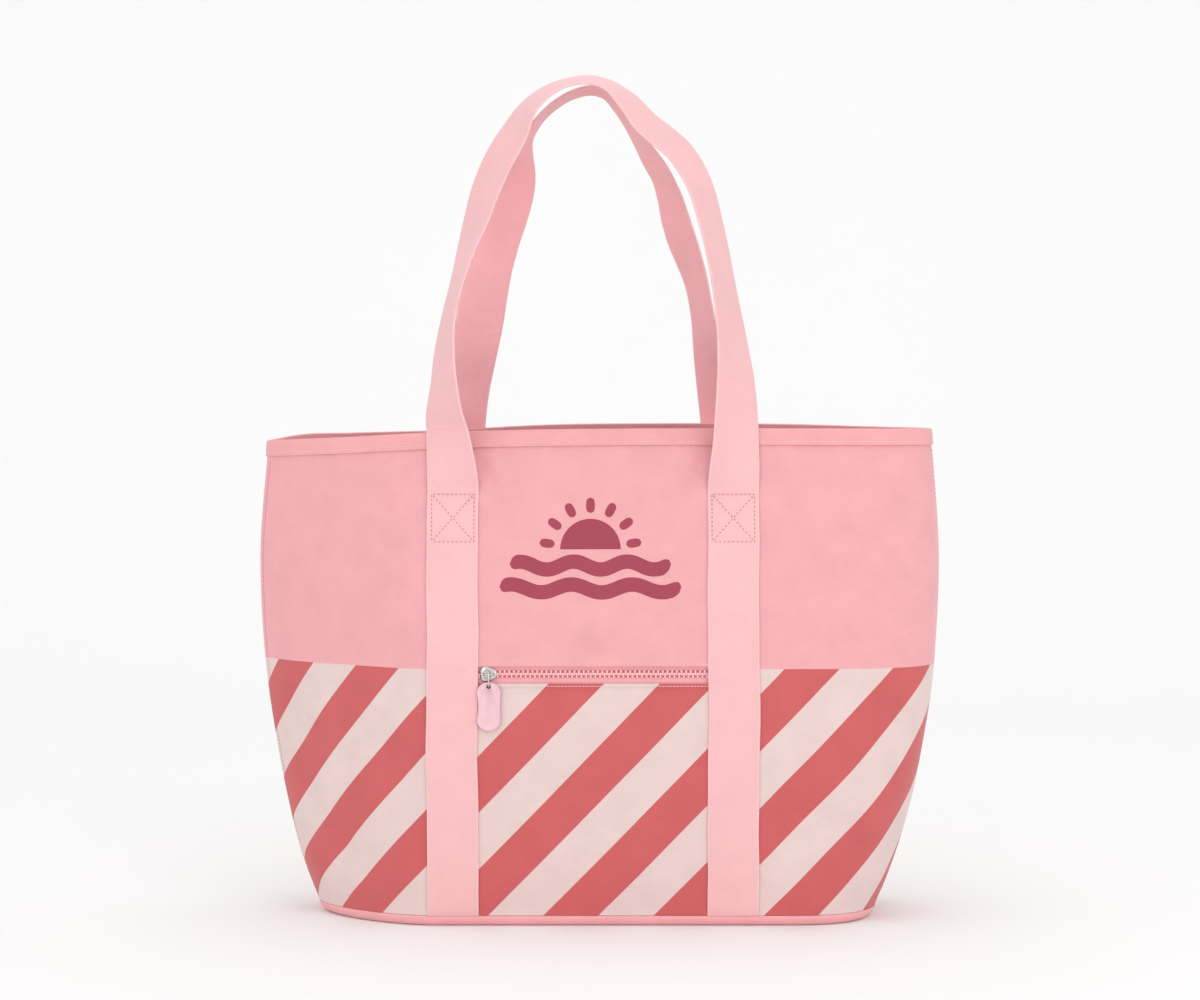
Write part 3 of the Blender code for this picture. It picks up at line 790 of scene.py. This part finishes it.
def make_base():
    """The base's cloth, turned up all round, with a stiff sheet and the lining on it."""
    top = BASE_SEAM_Z - GAP
    profile = [(0.0062, 0.0), (0.0040, 0.0002), (0.0022, 0.0010), (0.0010, 0.0022), (0.0002, 0.0038)]
    profile += [(-0.0004, 0.0056), (-0.0005, top - 0.0010), (-0.0002, top - 0.0003), (0.0003, top)]
    profile += [(PANEL_THICK, top), (PANEL_THICK, 0.0052), (0.0028, 0.0026), (0.0066, PANEL_THICK)]
    rings = [ring_round(z, depth) for depth, z in profile]
    heights = np.cumsum([0] + [math.dist(a, b) for a, b in zip(profile, profile[1:])])
    tray = loft_rings("base_cloth", rings, MATERIALS["base"], False, heights)
    finish_piece(tray, "bag", "outer_fabric", "base_panel")
    sheets = (
        ("base_stiffener", "base_board", 0.0076, "board", "base_board"),
        ("base_inner", "base_lining", 0.0026, "lining", "lining_fabric"),
    )
    for name, node, inset, material, slot in sheets:
        low, high = (corner.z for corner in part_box(node))
        rings = [ring_round(z, inset) for z in (low, high)]
        sheet = loft_rings(name, rings, MATERIALS[material], False, (0, high - low))
        finish_piece(sheet, "bag", slot, node)


# Webbing

LEG_TOP_Y = 0.0228
LEG_CURVE = 1.15
# Height, x and turn of a handle's leg. A turn of 0 faces forwards, and 90 lies flat.
FRONT_LEFT_LEG = (
    (0.352, -0.1126, 10), (0.368, -0.1144, 22), (0.387, -0.1168, 34), (0.402, -0.1190, 44),
    (0.422, -0.1199, 56), (0.447, -0.1197, 65), (0.478, -0.1157, 73), (0.504, -0.1091, 73),
    (0.532, -0.1010, 66), (0.550, -0.0950, 59), (0.5728, -0.0880, 54), (0.5952, -0.0789, 52),
    (0.6184, -0.0661, 54), (0.6388, -0.0551, 66), (0.6521, -0.0407, 72), (0.6600, -0.0232, 76),
)
FRONT_TOP = (0.6618, -0.0040, 75)
FRONT_RIGHT_LEG = (
    (0.352, 0.1068, 8), (0.372, 0.1080, 22), (0.398, 0.1086, 31), (0.433, 0.1082, 44),
    (0.457, 0.1060, 53), (0.480, 0.1027, 58), (0.504, 0.0988, 61), (0.527, 0.0945, 61),
    (0.5497, 0.0893, 60), (0.5731, 0.0828, 58), (0.5842, 0.0784, 57), (0.5942, 0.0729, 56),
    (0.6051, 0.0653, 56), (0.6160, 0.0533, 56), (0.6257, 0.0410, 57), (0.6472, 0.0222, 65),
    (0.6575, 0.0094, 73),
)
REAR_LEFT_LEG = (
    (0.352, -0.1110, 2), (0.370, -0.1118, 3), (0.392, -0.1110, 5), (0.420, -0.1075, 9),
    (0.447, -0.1015, 12), (0.474, -0.0955, 15), (0.496, -0.0920, 15), (0.517, -0.0880, 16),
    (0.540, -0.0815, 18), (0.562, -0.0735, 24), (0.580, -0.0670, 36), (0.594, -0.0625, 52),
    (0.606, -0.0592, 70), (0.618, -0.0560, 82), (0.6322, -0.0484, 85), (0.6466, -0.0337, 86),
    (0.6546, -0.0198, 86),
)
REAR_TOP = (0.6582, -0.0030, 85)
REAR_RIGHT_LEG = (
    (0.352, 0.1066, 2), (0.372, 0.1058, 10), (0.400, 0.1025, 24), (0.434, 0.0950, 46),
    (0.4640, 0.0885, 61), (0.4838, 0.0849, 65), (0.507, 0.0799, 64), (0.524, 0.0742, 60),
    (0.541, 0.0680, 57), (0.5547, 0.0638, 58), (0.575, 0.0581, 64), (0.589, 0.0525, 69),
    (0.602, 0.0446, 71), (0.617, 0.0350, 78), (0.632, 0.0255, 82), (0.646, 0.0155, 83),
    (0.6560, 0.0065, 83),
)


def leg_y(z):
    """How far a handle stands in front of or behind the middle, at a height."""
    foot = half_depth_at(STRAP_TOP_Z) + GAP + WEBBING_THICK / 2
    share = (z - STRAP_TOP_Z) / (FRONT_TOP[0] - STRAP_TOP_Z)
    return LEG_TOP_Y + (foot - LEG_TOP_Y) * max(0, 1 - share) ** LEG_CURVE


def leg_stand(z, turn):
    """The same, pushed out near the rim so that the turned webbing's edge clears it."""
    clear = half_depth_at(min(z, RIM_Z)) + 2 * GAP + BINDING_THICK + WEBBING_THICK / 2
    clear += WEBBING_WIDTH / 2 * math.sin(math.radians(turn)) + 0.0004
    share = 1 - smooth((z - RIM_Z - 0.006) / 0.065)
    return leg_y(z) + max(0, clear - leg_y(z)) * share


def strap_stations(side, end):
    """The stitched part, from the base seam up to the top of its stitching."""
    found = []
    for z in grid_rows(BASE_SEAM_Z + 0.0002, STRAP_TOP_Z, 0.012, 0.0125, 0.0165):
        sway = 0.0004 * math.sin(z * 41 + end) + 0.0002 * math.sin(z * 97 + 2 * side)
        tuck = 0.0014 * (1 - smooth((z - BASE_SEAM_Z) / 0.004))
        stand = half_depth_at(z) + GAP + WEBBING_THICK / 2 - tuck
        found.append((STRAP_X[end] + sway * smooth((z - 0.02) / 0.05), side * stand, z, 0))
    return found


def webbing_stations(side, left_leg, top, right_leg):
    """Rows of x, y, z and turn, from the left strap's foot to the right one's."""
    left, right = (
        strap_stations(side, end) + [(x, side * leg_stand(z, turn), z, turn) for z, x, turn in leg]
        for end, leg in ((LEFT, left_leg), (RIGHT, right_leg))
    )
    z, x, turn = top
    return left + [(x, side * leg_y(z), z, turn)] + right[::-1]


def webbing_section():
    """Half the webbing's outline, across and through: flat faces with rounded edges."""
    half_wide, half_thick = WEBBING_WIDTH / 2, WEBBING_THICK / 2
    flat = half_wide - half_thick
    face = [(flat * (2 * n / 14 - 1), half_thick) for n in range(15)]
    edge = [
        (flat + half_thick * math.sin(turn), half_thick * math.cos(turn))
        for turn in (math.pi / 4, math.pi / 2, 3 * math.pi / 4)
    ]
    half = face + edge
    return half + [(-a, -b) for a, b in half]


def make_webbing(name, side, stations, nodes):
    """One length of webbing, from the base seam over the handle and down again."""
    path = spline(stations, 0.0034)
    places = path[:, :3]
    section = webbing_section()
    ahead = unit_rows(np.gradient(places, axis=0))
    level = unit_rows(np.array([0, 1, 0]) - ahead * ahead[:, 1:2])
    across = np.cross(level, ahead)
    turn = np.radians(path[:, 3])[:, None]
    wide = across * np.cos(turn) + level * side * np.sin(turn)
    thick = np.cross(wide, ahead)
    run = run_along(places)
    points = []
    uv = []
    for at, side_way, out_way, length in zip(places, wide, thick, run):
        for a, b in section:
            points.append(at + side_way * a + out_way * b)
            uv.append((a, length))
    faces = [face[::-1] for face in skin(len(places), len(section))]
    # The rear webbing takes the lighter pink, which is painted light.
    material = MATERIALS["webbing" if side == FRONT else "rear_webbing"]
    band = make_object(name, points, faces, material, uv, sharp=60)
    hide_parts(*nodes)
    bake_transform(band)


# Stitching and print


def between(at, run, rows):
    return np.array([np.interp(at, run, rows[:, axis]) for axis in range(3)])


def make_threads(name, routes, material, length=0.0026, pitch=0.0034, radius=0.00027):
    """Rows of stitches along routes of (place, way out). Each one dips into the cloth."""
    sides, rings = 6, 5
    lifts = (-0.4, 0.75, 1.0, 0.75, -0.4)
    sizes = (0.55, 0.95, 1.0, 0.95, 0.55)
    points = []
    faces = []
    for route in routes:
        places = np.array([p for p, _ in route])
        outs = np.array([o for _, o in route])
        run = run_along(places)
        for start in np.arange(pitch / 2, run[-1] - length, pitch):
            base = len(points)
            for k in range(rings):
                at = start + length * k / (rings - 1)
                centre = between(at, run, places)
                ahead = between(at + 1e-4, run, places) - centre
                ahead /= max(np.linalg.norm(ahead), 1e-9)
                out = between(at, run, outs)
                out = out - ahead * out.dot(ahead)
                out /= np.linalg.norm(out)
                beside = np.cross(ahead, out)
                centre = centre + out * radius * lifts[k]
                for m in range(sides):
                    turn = 2 * math.pi * m / sides
                    way = math.cos(turn) * out + math.sin(turn) * beside
                    points.append(centre + radius * sizes[k] * way)
            faces += skin(rings, sides, base=base)
    return make_object(name, points, faces, material, sharp=80)


def wall_route(side, along, lift):
    return [place(u, z, side, lift) for u, z in along]


def strap_route(side, end, corners):
    """A route on the face of a stitched strap, through corners across and up it."""
    found = []
    for (a, low), (b, high) in zip(corners, corners[1:]):
        for n in range(9):
            z = low + (high - low) * n / 8
            x = STRAP_X[end] + a + (b - a) * n / 8
            y = side * (half_depth_at(z) + GAP + WEBBING_THICK)
            found.append((Vector((x, y, z)), Vector((0, side, 0))))
    return found


def make_stitching():
    """The crossed boxes on the straps, and the rows along the rim, the pocket and the seams."""
    box_low, box_high = STRAP_TOP_Z - 0.0388, STRAP_TOP_Z - 0.0022
    inset = WEBBING_WIDTH / 2 - 0.0035
    low_left, low_right = (-inset, box_low), (inset, box_low)
    high_left, high_right = (-inset, box_high), (inset, box_high)
    corners = (low_left, low_right, high_right, high_left, low_left)
    cross = (low_left, high_right), (high_left, low_right)
    for side, word in ((FRONT, "front"), (BACK, "back")):
        routes = []
        for end in (LEFT, RIGHT):
            routes += [strap_route(side, end, route) for route in (corners, *cross)]
        name = word + "_strap_stitches"
        threads = make_threads(name, routes, MATERIALS["thread"], 0.0020, 0.0034, 0.0003)
        finish_piece(threads, "bag", "webbing")
    routes = []
    stitch_z = BINDING_LOW_Z + 0.0028
    for side in (FRONT, BACK):
        along = [(u_of(c, stitch_z, side), stitch_z) for c in np.linspace(-1.995, 1.995, 260)]
        routes.append(wall_route(side, along, GAP + BINDING_THICK + 0.0001))
        inner = -(PANEL_THICK + LINING_THICK + BINDING_THICK + 2 * GAP)
        routes.append([(p, -out) for p, out in wall_route(side, along, inner)])
    threads = make_threads("rim_stitches", routes, MATERIALS["pale_thread"], 0.0022, 0.0034, 0.00028)
    finish_piece(threads, "bag", "binding_tape")
    topstitch_z = SLIT_LOW_Z - 0.0020
    under_strap = 0.018
    across = np.linspace(STRAP_X[LEFT] + under_strap, STRAP_X[RIGHT] - under_strap, 60)
    routes = [wall_route(FRONT, [(x, topstitch_z) for x in across], 0.0)]
    pale = MATERIALS["pale_thread"]
    threads = make_threads("pocket_stitches", routes, pale, 0.0022, 0.0027, 0.00026)
    finish_piece(threads, "bag", "outer_fabric")
    routes = []
    for end in (LEFT, RIGHT):
        for side in (FRONT, BACK):
            heights = np.linspace(BASE_SEAM_Z + 0.004, BINDING_LOW_Z - 0.002, 120)
            edge = [(u_of(end * 2.0, z, side) - end * 0.0055, z) for z in heights]
            routes.append(wall_route(side, edge, 0.0))
    threads = make_threads("side_seam_stitches", routes, MATERIALS["thread"], radius=0.0002)
    finish_piece(threads, "bag", "outer_fabric")


MOTIF_X = -0.005
MOTIF_LOW_Z = 0.2565
MOTIF_WIDTH = 0.141
PRINT_LIFT = 0.00012


def wave_band(z, amplitude, thick, phase, width):
    """A wavy band with round ends, as pairs of lower and upper points."""
    pairs = []
    count = 90
    for n in range(count + 1):
        share = n / count
        x = width * (share - 0.5)
        mid = z + amplitude * math.sin(share * 3 * 2 * math.pi + phase)
        slope = amplitude * 6 * math.pi / width * math.cos(share * 6 * math.pi + phase)
        from_end = min(share, 1 - share) * width
        half = thick / 2 * math.sqrt(max(0.0, 1 - max(0.0, 1 - from_end / (thick / 2)) ** 2))
        half *= math.sqrt(1 + slope * slope) if from_end > thick / 2 else 1
        pairs.append(((x, mid - half), (x, mid + half)))
    return pairs


def motif_shapes():
    """A half sun with rays over two waves."""
    waves = ((0.0075, MOTIF_WIDTH), (0.0250, MOTIF_WIDTH - 0.016))
    shapes = [wave_band(z, 0.0030, 0.0110, 0.4, width) for z, width in waves]
    sun_z, radius, count = 0.0375, 0.0235, 48
    disc = []
    for n in range(count + 1):
        turn = math.pi * (1 - n / count)
        x = radius * math.cos(turn)
        disc.append(((x, sun_z), (x, sun_z + radius * math.sin(turn))))
    shapes.append(disc)
    for n in range(7):
        turn = math.radians(8 + 164 * n / 6)
        away = Vector((math.cos(turn), math.sin(turn)))
        beside = Vector((-away.y, away.x))
        ray = []
        for k in range(13):
            share = k / 12
            at = radius + 0.0045 + 0.0120 * share
            half = 0.0034 * math.sqrt(max(0.0, 1 - abs(2 * share - 1) ** 3))
            centre = away * at + Vector((0, sun_z))
            ray.append((tuple(centre - beside * half), tuple(centre + beside * half)))
        shapes.append(ray)
    return shapes


def make_motif():
    """The print, as a thin film that follows the cloth."""
    points = []
    faces = []
    uv = []
    for shape in motif_shapes():
        base = len(points)
        for pair in shape:
            for lift in (PRINT_LIFT, 0.00002):
                for x, z in pair:
                    at = place(MOTIF_X + x, MOTIF_LOW_Z + z, FRONT, lift)[0]
                    points.append(at)
                    uv.append((MOTIF_X + x, MOTIF_LOW_Z + z))
        for n in range(len(shape) - 1):
            here, there = base + 4 * n, base + 4 * (n + 1)
            for a, b in ((0, 1), (1, 3), (3, 2), (2, 0)):
                faces.append([here + a, there + a, there + b, here + b])
        faces.append([base + n for n in (0, 1, 3, 2)])
        faces.append([base + 4 * (len(shape) - 1) + n for n in (0, 2, 3, 1)])
    print_film = make_object("sun_and_waves", points, faces, MATERIALS["print"], uv)
    finish_piece(print_film, "bag", "outer_fabric")


# Zip and pocket

TOOTH_PITCH = 0.0036
CHAIN_FRONT = 0.0005
CHAIN_BACK = 0.0029


def make_pocket():
    """The pouch behind the zip: two sheets that meet at their edges."""
    low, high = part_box("pocket_bag")
    front = PANEL_THICK + TAPE_THICK + 2 * GAP

    def fullness(u, z):
        edge = np.minimum(np.minimum(u - low.x, high.x - u), min(z - low.z, high.z - z))
        return smooth(edge / 0.012)

    def sheet_depth(share, through):
        return lambda u, z: front + 0.0022 * share * fullness(u, z) + through

    columns = column_of(grid_rows(low.x, high.x, 0.005, SLIT_LEFT, SLIT_RIGHT), FRONT)
    rows = grid_rows(low.z, high.z, 0.005, CHAIN_Z - 0.012, CHAIN_Z + 0.012)
    hole = (SLIT_LEFT, SLIT_RIGHT, CHAIN_Z - 0.012, CHAIN_Z + 0.012)
    lining = MATERIALS["lining"]
    outer, inner = sheet_depth(0, 0), sheet_depth(0, POCKET_THICK)
    near = layer("pocket_near", FRONT, outer, inner, columns, rows, lining, hole)
    outer, inner = sheet_depth(1, POCKET_THICK), sheet_depth(1, 2 * POCKET_THICK)
    far = layer("pocket_far", FRONT, outer, inner, columns, rows, lining)
    finish_piece(near, "bag", "lining_fabric", "pocket_bag")
    finish_piece(far, "bag", "lining_fabric")


def chain_y():
    """The plain wall's face at the zip."""
    return -float(half_depth_at(CHAIN_Z))


def prism(rings):
    """Points and faces of a solid through rings of equal length, with flat ends."""
    count = len(rings[0])
    return [p for ring in rings for p in ring], skin(len(rings), count)


def scaled_rings(ring, layers):
    """The outline in x and z, repeated at each (y, inset), and drawn in towards its middle."""
    middle = np.mean(ring, axis=0)
    rings = []
    for y, inset in layers:
        found = []
        for x, z in ring:
            dx, dz = x - middle[0], z - middle[1]
            size = math.hypot(dx, dz)
            share = max(0.0, 1 - inset / size)
            found.append((middle[0] + dx * share, y, middle[1] + dz * share))
        rings.append(found)
    return rings


def turned_out(thing):
    """Makes every face point out."""
    shape = bmesh.new()
    shape.from_mesh(thing.data)
    bmesh.ops.recalc_face_normals(shape, faces=shape.faces)
    shape.to_mesh(thing.data)
    shape.free()
    return thing


def make_teeth(name, up):
    """Moulded teeth with a neck and a head. The two rows mesh, half a pitch apart."""
    half = (
        (0.00085, 0.00300),
        (0.00090, 0.00160),
        (0.00058, 0.00095),
        (0.00062, 0.00040),
        (0.00108, 0.00000),
        (0.00112, -0.00050),
        (0.00080, -0.00105),
    )
    outline_points = list(half) + [(-x, z) for x, z in reversed(half)]
    first = SLIT_LEFT + 0.0034
    last = SLIT_RIGHT - 0.0034
    offset = 0.0 if up > 0 else TOOTH_PITCH / 2
    front = chain_y() + CHAIN_FRONT - 0.0003
    back = chain_y() + CHAIN_BACK
    layers = ((back, 0.0002), (back - 0.0002, 0.0), (front + 0.0004, 0.0))
    layers += ((front + 0.0001, 0.00018), (front, 0.0004))
    points = []
    faces = []
    for n in range(int((last - first - offset) / TOOTH_PITCH) + 1):
        x = first + offset + n * TOOTH_PITCH
        parted = 0.0013 * (1 - smooth((x - SLIT_LEFT - 0.006) / 0.006))
        ring = [(x + a, CHAIN_Z + up * (b + parted)) for a, b in outline_points]
        ring_points, ring_faces = prism(scaled_rings(ring, layers))
        base = len(points)
        points += ring_points
        faces += [[base + i for i in face] for face in ring_faces]
    teeth = make_object(name, points, faces, MATERIALS["tooth"], sharp=35)
    node = "zip_teeth_upper" if up > 0 else "zip_teeth_lower"
    finish_piece(turned_out(teeth), "bag", "zip_plastic", node)


def rounded_outline(half_x, half_z, power, count, taper=0.0):
    """A rounded box's outline about the middle. Taper narrows its right end."""
    ring = []
    for n in range(count):
        turn = 2 * math.pi * n / count
        c, s = math.cos(turn), math.sin(turn)
        x = half_x * math.copysign(abs(c) ** (2 / power), c)
        z = half_z * math.copysign(abs(s) ** (2 / power), s)
        ring.append((x, z * (1 - taper * x / half_x)))
    return ring


def tube(points, radius, sides=10, closed=True):
    """A round wire along points in one plane."""
    points = [Vector(p) for p in points]
    count = len(points)
    normal = (points[1] - points[0]).cross(points[count // 2] - points[0]).normalized()
    rings = []
    for n, point in enumerate(points):
        before = points[n - 1] if closed or n > 0 else point
        after = points[(n + 1) % count] if closed or n < count - 1 else point
        out = (after - before).normalized().cross(normal)
        turns = ring_of(sides)
        rings.append([point + radius * (math.cos(t) * out + math.sin(t) * normal) for t in turns])
    all_points, faces = prism(rings)
    if closed:
        faces = faces[:-2]
        base = (count - 1) * sides
        for n in range(sides):
            m = (n + 1) % sides
            faces.append([base + n, base + m, m, n])
    return all_points, faces


def joined(shapes):
    points = []
    faces = []
    for more_points, more_faces in shapes:
        base = len(points)
        points += list(more_points)
        faces += [[base + i for i in face] for face in more_faces]
    return points, faces


def make_zip():
    """The two tapes, their teeth and the end stops."""
    for name, up in (("upper", 1), ("lower", -1)):
        low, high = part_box("zip_tape_" + name)
        near = CHAIN_Z + up * 0.0005
        far = high.z if up > 0 else low.z
        columns = column_of(grid_rows(low.x, high.x, 0.004), FRONT)
        rows = grid_rows(min(near, far), max(near, far), 0.002)

        def face(u, z):
            behind_teeth = 0.0007 * (1 - smooth((abs(z - CHAIN_Z) - 0.0026) / 0.001))
            return PANEL_THICK + GAP + zip_lips(u, z) + behind_teeth

        inner = deeper(face, TAPE_THICK)
        tape = layer("zip_tape_" + name + "_cloth", FRONT, face, inner, columns, rows, MATERIALS["tape"])
        finish_piece(tape, "bag", "zip_tape", "zip_tape_" + name)
        make_teeth("teeth_" + name, up)
    for word in ("left", "right"):
        low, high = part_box("zip_stop_" + word)
        middle = (low + high) / 2
        ring = [(middle.x + x, middle.z + z) for x, z in rounded_outline(0.0012, 0.0031, 4, 24)]
        layers = ((high.y, 0.0003), (high.y - 0.0003, 0), (low.y + 0.0004, 0), (low.y, 0.0004))
        stop = make_object("stop_" + word, *prism(scaled_rings(ring, layers)), MATERIALS["tooth"])
        finish_piece(turned_out(stop), "bag", "zip_plastic", "zip_stop_" + word)


def joint_place(name):
    return Vector(next(joint for joint in frame["joints"] if joint["name"] == name)["pos_m"])


def make_slider():
    """The slider's body, with side flanges, a raised ring and a bridge for the link."""
    axis = joint_place("pull_lift")
    rear_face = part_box("zip_slider")[1].y
    front = chain_y() + CHAIN_FRONT - GAP
    back = chain_y() + CHAIN_BACK + GAP
    plate = rounded_outline(0.0062, 0.0054, 2.6, 48, taper=0.36)
    ring = [(axis.x + x, axis.z + z) for x, z in plate]
    face = front - 0.0011
    layers = ((front, 0.0003), (front - 0.0003, 0), (face + 0.0005, 0))
    layers += ((face + 0.0001, 0.0004), (face, 0.0009))
    shapes = [prism(scaled_rings(ring, layers))]
    layers = ((back, 0.0003), (back + 0.0004, 0), (rear_face - 0.0003, 0), (rear_face, 0.0006))
    shapes.append(prism(scaled_rings(ring, layers)))
    post = [(axis.x + x, axis.z + z) for x, z in rounded_outline(0.0020, 0.0003, 2, 16)]
    shapes.append(prism(scaled_rings(post, ((front, 0), (back, 0)))))
    reach = front - axis.y - 0.0006
    turns = [math.pi * n / 16 for n in range(17)]
    arch = [
        (axis.x - 0.0042 * math.cos(t), axis.y + reach * (1 - math.sin(t) ** 0.8), axis.z) for t in turns
    ]
    shapes.append(tube(arch, 0.0008, 12, closed=False))
    size, shift = 0.0032, 0.0012
    ring = [
        (axis.x - shift + size * math.cos(t), face - 0.0001, axis.z + size * math.sin(t))
        for t in ring_of(32)
    ]
    shapes.append(tube(ring, 0.0006, 10))
    slider = make_object("slider_body", *joined(shapes), MATERIALS["metal"], sharp=35)
    finish_piece(turned_out(slider), "zip_slider", "zip_metal", "zip_slider")


def make_pull():
    """The wire link and the rubber tab that hangs on it."""
    axis = joint_place("pull_lift")
    low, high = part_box("pull_link")
    radius = (high.x - low.x) / 2
    turn_radius = (high.y - low.y) / 2 - radius
    reach = (high.z - low.z) - 2 * turn_radius - 2 * radius
    route = []
    for half, middle in enumerate((axis, axis - Vector((0, 0, reach)))):
        for n in range(17):
            angle = math.pi * (half + n / 16)
            route.append(middle + turn_radius * Vector((0, math.cos(angle), math.sin(angle))))
    link = make_object("wire_link", *tube(route, radius, 12), MATERIALS["metal"], sharp=60)
    finish_piece(turned_out(link), "pull_link", "zip_metal", "pull_link")

    low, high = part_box("pull_tab")
    middle = (low + high) / 2
    half_x, half_z = (high.x - low.x) / 2, (high.z - low.z) / 2
    ring = []
    corner = half_x * 0.93
    for quarter, (sx, sz) in enumerate(((1, 1), (-1, 1), (-1, -1), (1, -1))):
        for n in range(13):
            angle = math.pi / 2 * (quarter + n / 12)
            x = sx * (half_x - corner) + corner * math.cos(angle)
            z = sz * (half_z - corner) + corner * math.sin(angle)
            ring.append((middle.x + x, middle.z + z))
        if quarter in (1, 3):
            for n in range(1, 16):
                z = (1 if quarter == 1 else -1) * (half_z - corner) * math.cos(math.pi * n / 16)
                side_x = -half_x if quarter == 1 else half_x
                waist = (0.12 if quarter == 1 else 0.05) * math.sin(math.pi * n / 16) ** 2
                ring.append((middle.x + side_x * (1 - waist), middle.z + z))
    half_thick = (high.y - low.y) / 2
    centre = np.mean(ring, axis=0)
    steps = ((1.0, 0.0007), (0.6, 0.0002), (0.0, 0.0), (-0.6, 0.0002))
    steps += ((-1.0, 0.0007), (-1.0, 0.0014), (-0.82, 0.0018), (-0.80, 0.0026))
    rings = []
    for through, inset in steps:
        found = []
        for x, z in ring:
            nx, nz = x - centre[0], z - centre[1]
            nz = math.copysign(max(0.0, abs(nz) - (half_z - corner)), nz)
            size = max(math.hypot(nx, nz), 1e-9)
            y = middle.y + through * half_thick
            found.append((x - nx / size * inset, y, z - nz / size * inset))
        rings.append(found)
    tab = make_object("rubber_tab", *prism(rings), MATERIALS["tab"], sharp=50)
    turned_out(tab)
    hole = joint_place("tab_swing")
    size = 0.0017
    cutter_rings = [
        [(hole.x + size * math.cos(t), hole.y + y, hole.z + size * math.sin(t)) for t in ring_of(32)]
        for y in (-0.004, 0.004)
    ]
    cutter = turned_out(make_object("hole_cutter", *prism(cutter_rings), MATERIALS["tab"]))
    cut = tab.modifiers.new("hole", "BOOLEAN")
    cut.operation = "DIFFERENCE"
    cut.solver = "EXACT"
    cut.object = cutter
    done = bpy.data.meshes.new_from_object(tab.evaluated_get(bpy.context.evaluated_depsgraph_get()))
    tab.modifiers.clear()
    tab.data = done
    bpy.data.objects.remove(cutter, do_unlink=True)
    finish_piece(tab, "pull_tab", "pull_rubber", "pull_tab")


# Room, lights and camera


CAMERA_PLACE = (0.0024, -2.4, 0.42)
CAMERA_PITCH = 2.16  # degrees below level
CAMERA_LENS = 90
CAMERA_SENSOR = 36
LIGHT_TARGET = (0, 0, 0.3)
# Name, place, width in metres and power in watts.
LIGHTS = (
    ("key", (1.4, -2.5, 0.65), 2.0, 14),
    ("fill", (-1.2, -2.6, 0.40), 2.0, 11),
    ("top", (0.1, 0.2, 2.6), 2.2, 8),
)


def make_room():
    """A pale floor that curves up into a pale wall behind the bag."""
    graph = Graph("pale_floor", Roughness=0.9)
    faint = graph.noise(graph.node("ShaderNodeTexCoord").outputs["Object"], 3.0, 2.0)
    graph.shade(Base_Color=graph.mix(faint, (0.88, 0.88, 0.88), (0.90, 0.90, 0.90)))
    far, bend, tall, wide = 2.6, 1.2, 6.0, 9.0
    rows = [(-7.0, 0.0), (far - bend, 0.0)]
    for turn in np.linspace(0, math.pi / 2, 24)[1:]:
        rows.append((far - bend + bend * math.sin(turn), bend * (1 - math.cos(turn))))
    rows.append((far, tall))
    points = [(x, y, z) for y, z in rows for x in (-wide, wide)]
    faces = [[2 * n, 2 * n + 1, 2 * n + 3, 2 * n + 2] for n in range(len(rows) - 1)]
    floor = make_object("studio_floor", points, faces, graph.material, sharp=80)


def make_light(name, at, size, power):
    light = bpy.data.lights.new(name, "AREA")
    light.shape = "RECTANGLE"
    light.size = size
    light.size_y = size
    light.energy = power
    thing = bpy.data.objects.new(name, light)
    thing.location = at
    aim = Vector(LIGHT_TARGET) - Vector(at)
    thing.rotation_euler = aim.to_track_quat("-Z", "Y").to_euler()
    bpy.context.scene.collection.objects.link(thing)


def make_lights():
    world = bpy.data.worlds.new("studio")
    world.use_nodes = True
    background = world.node_tree.nodes["Background"]
    background.inputs["Color"].default_value = (1, 1, 1, 1)
    background.inputs["Strength"].default_value = 1.0
    bpy.context.scene.world = world
    for light in LIGHTS:
        make_light(*light)
    bpy.context.scene.view_settings.view_transform = "Standard"


def make_camera():
    camera = bpy.data.cameras.new("camera")
    camera.lens = CAMERA_LENS
    camera.sensor_width = CAMERA_SENSOR
    thing = bpy.data.objects.new("camera", camera)
    thing.location = CAMERA_PLACE
    thing.rotation_euler = (math.radians(90 - CAMERA_PITCH), 0, 0)
    bpy.context.scene.collection.objects.link(thing)
    bpy.context.scene.camera = thing


def main():
    make_walls()
    make_binding()
    make_base()
    make_pocket()
    stations = webbing_stations(FRONT, FRONT_LEFT_LEG, FRONT_TOP, FRONT_RIGHT_LEG)
    nodes = ("front_strap_left", "front_strap_right", "front_handle")
    make_webbing("front_webbing", FRONT, stations, nodes)
    stations = webbing_stations(BACK, REAR_LEFT_LEG, REAR_TOP, REAR_RIGHT_LEG)
    nodes = ("back_strap_left", "back_strap_right", "rear_handle")
    make_webbing("rear_webbing", BACK, stations, nodes)
    make_stitching()
    make_motif()
    make_zip()
    make_slider()
    make_pull()
    make_room()
    make_lights()
    make_camera()


main()
bpy.context.view_layer.update()
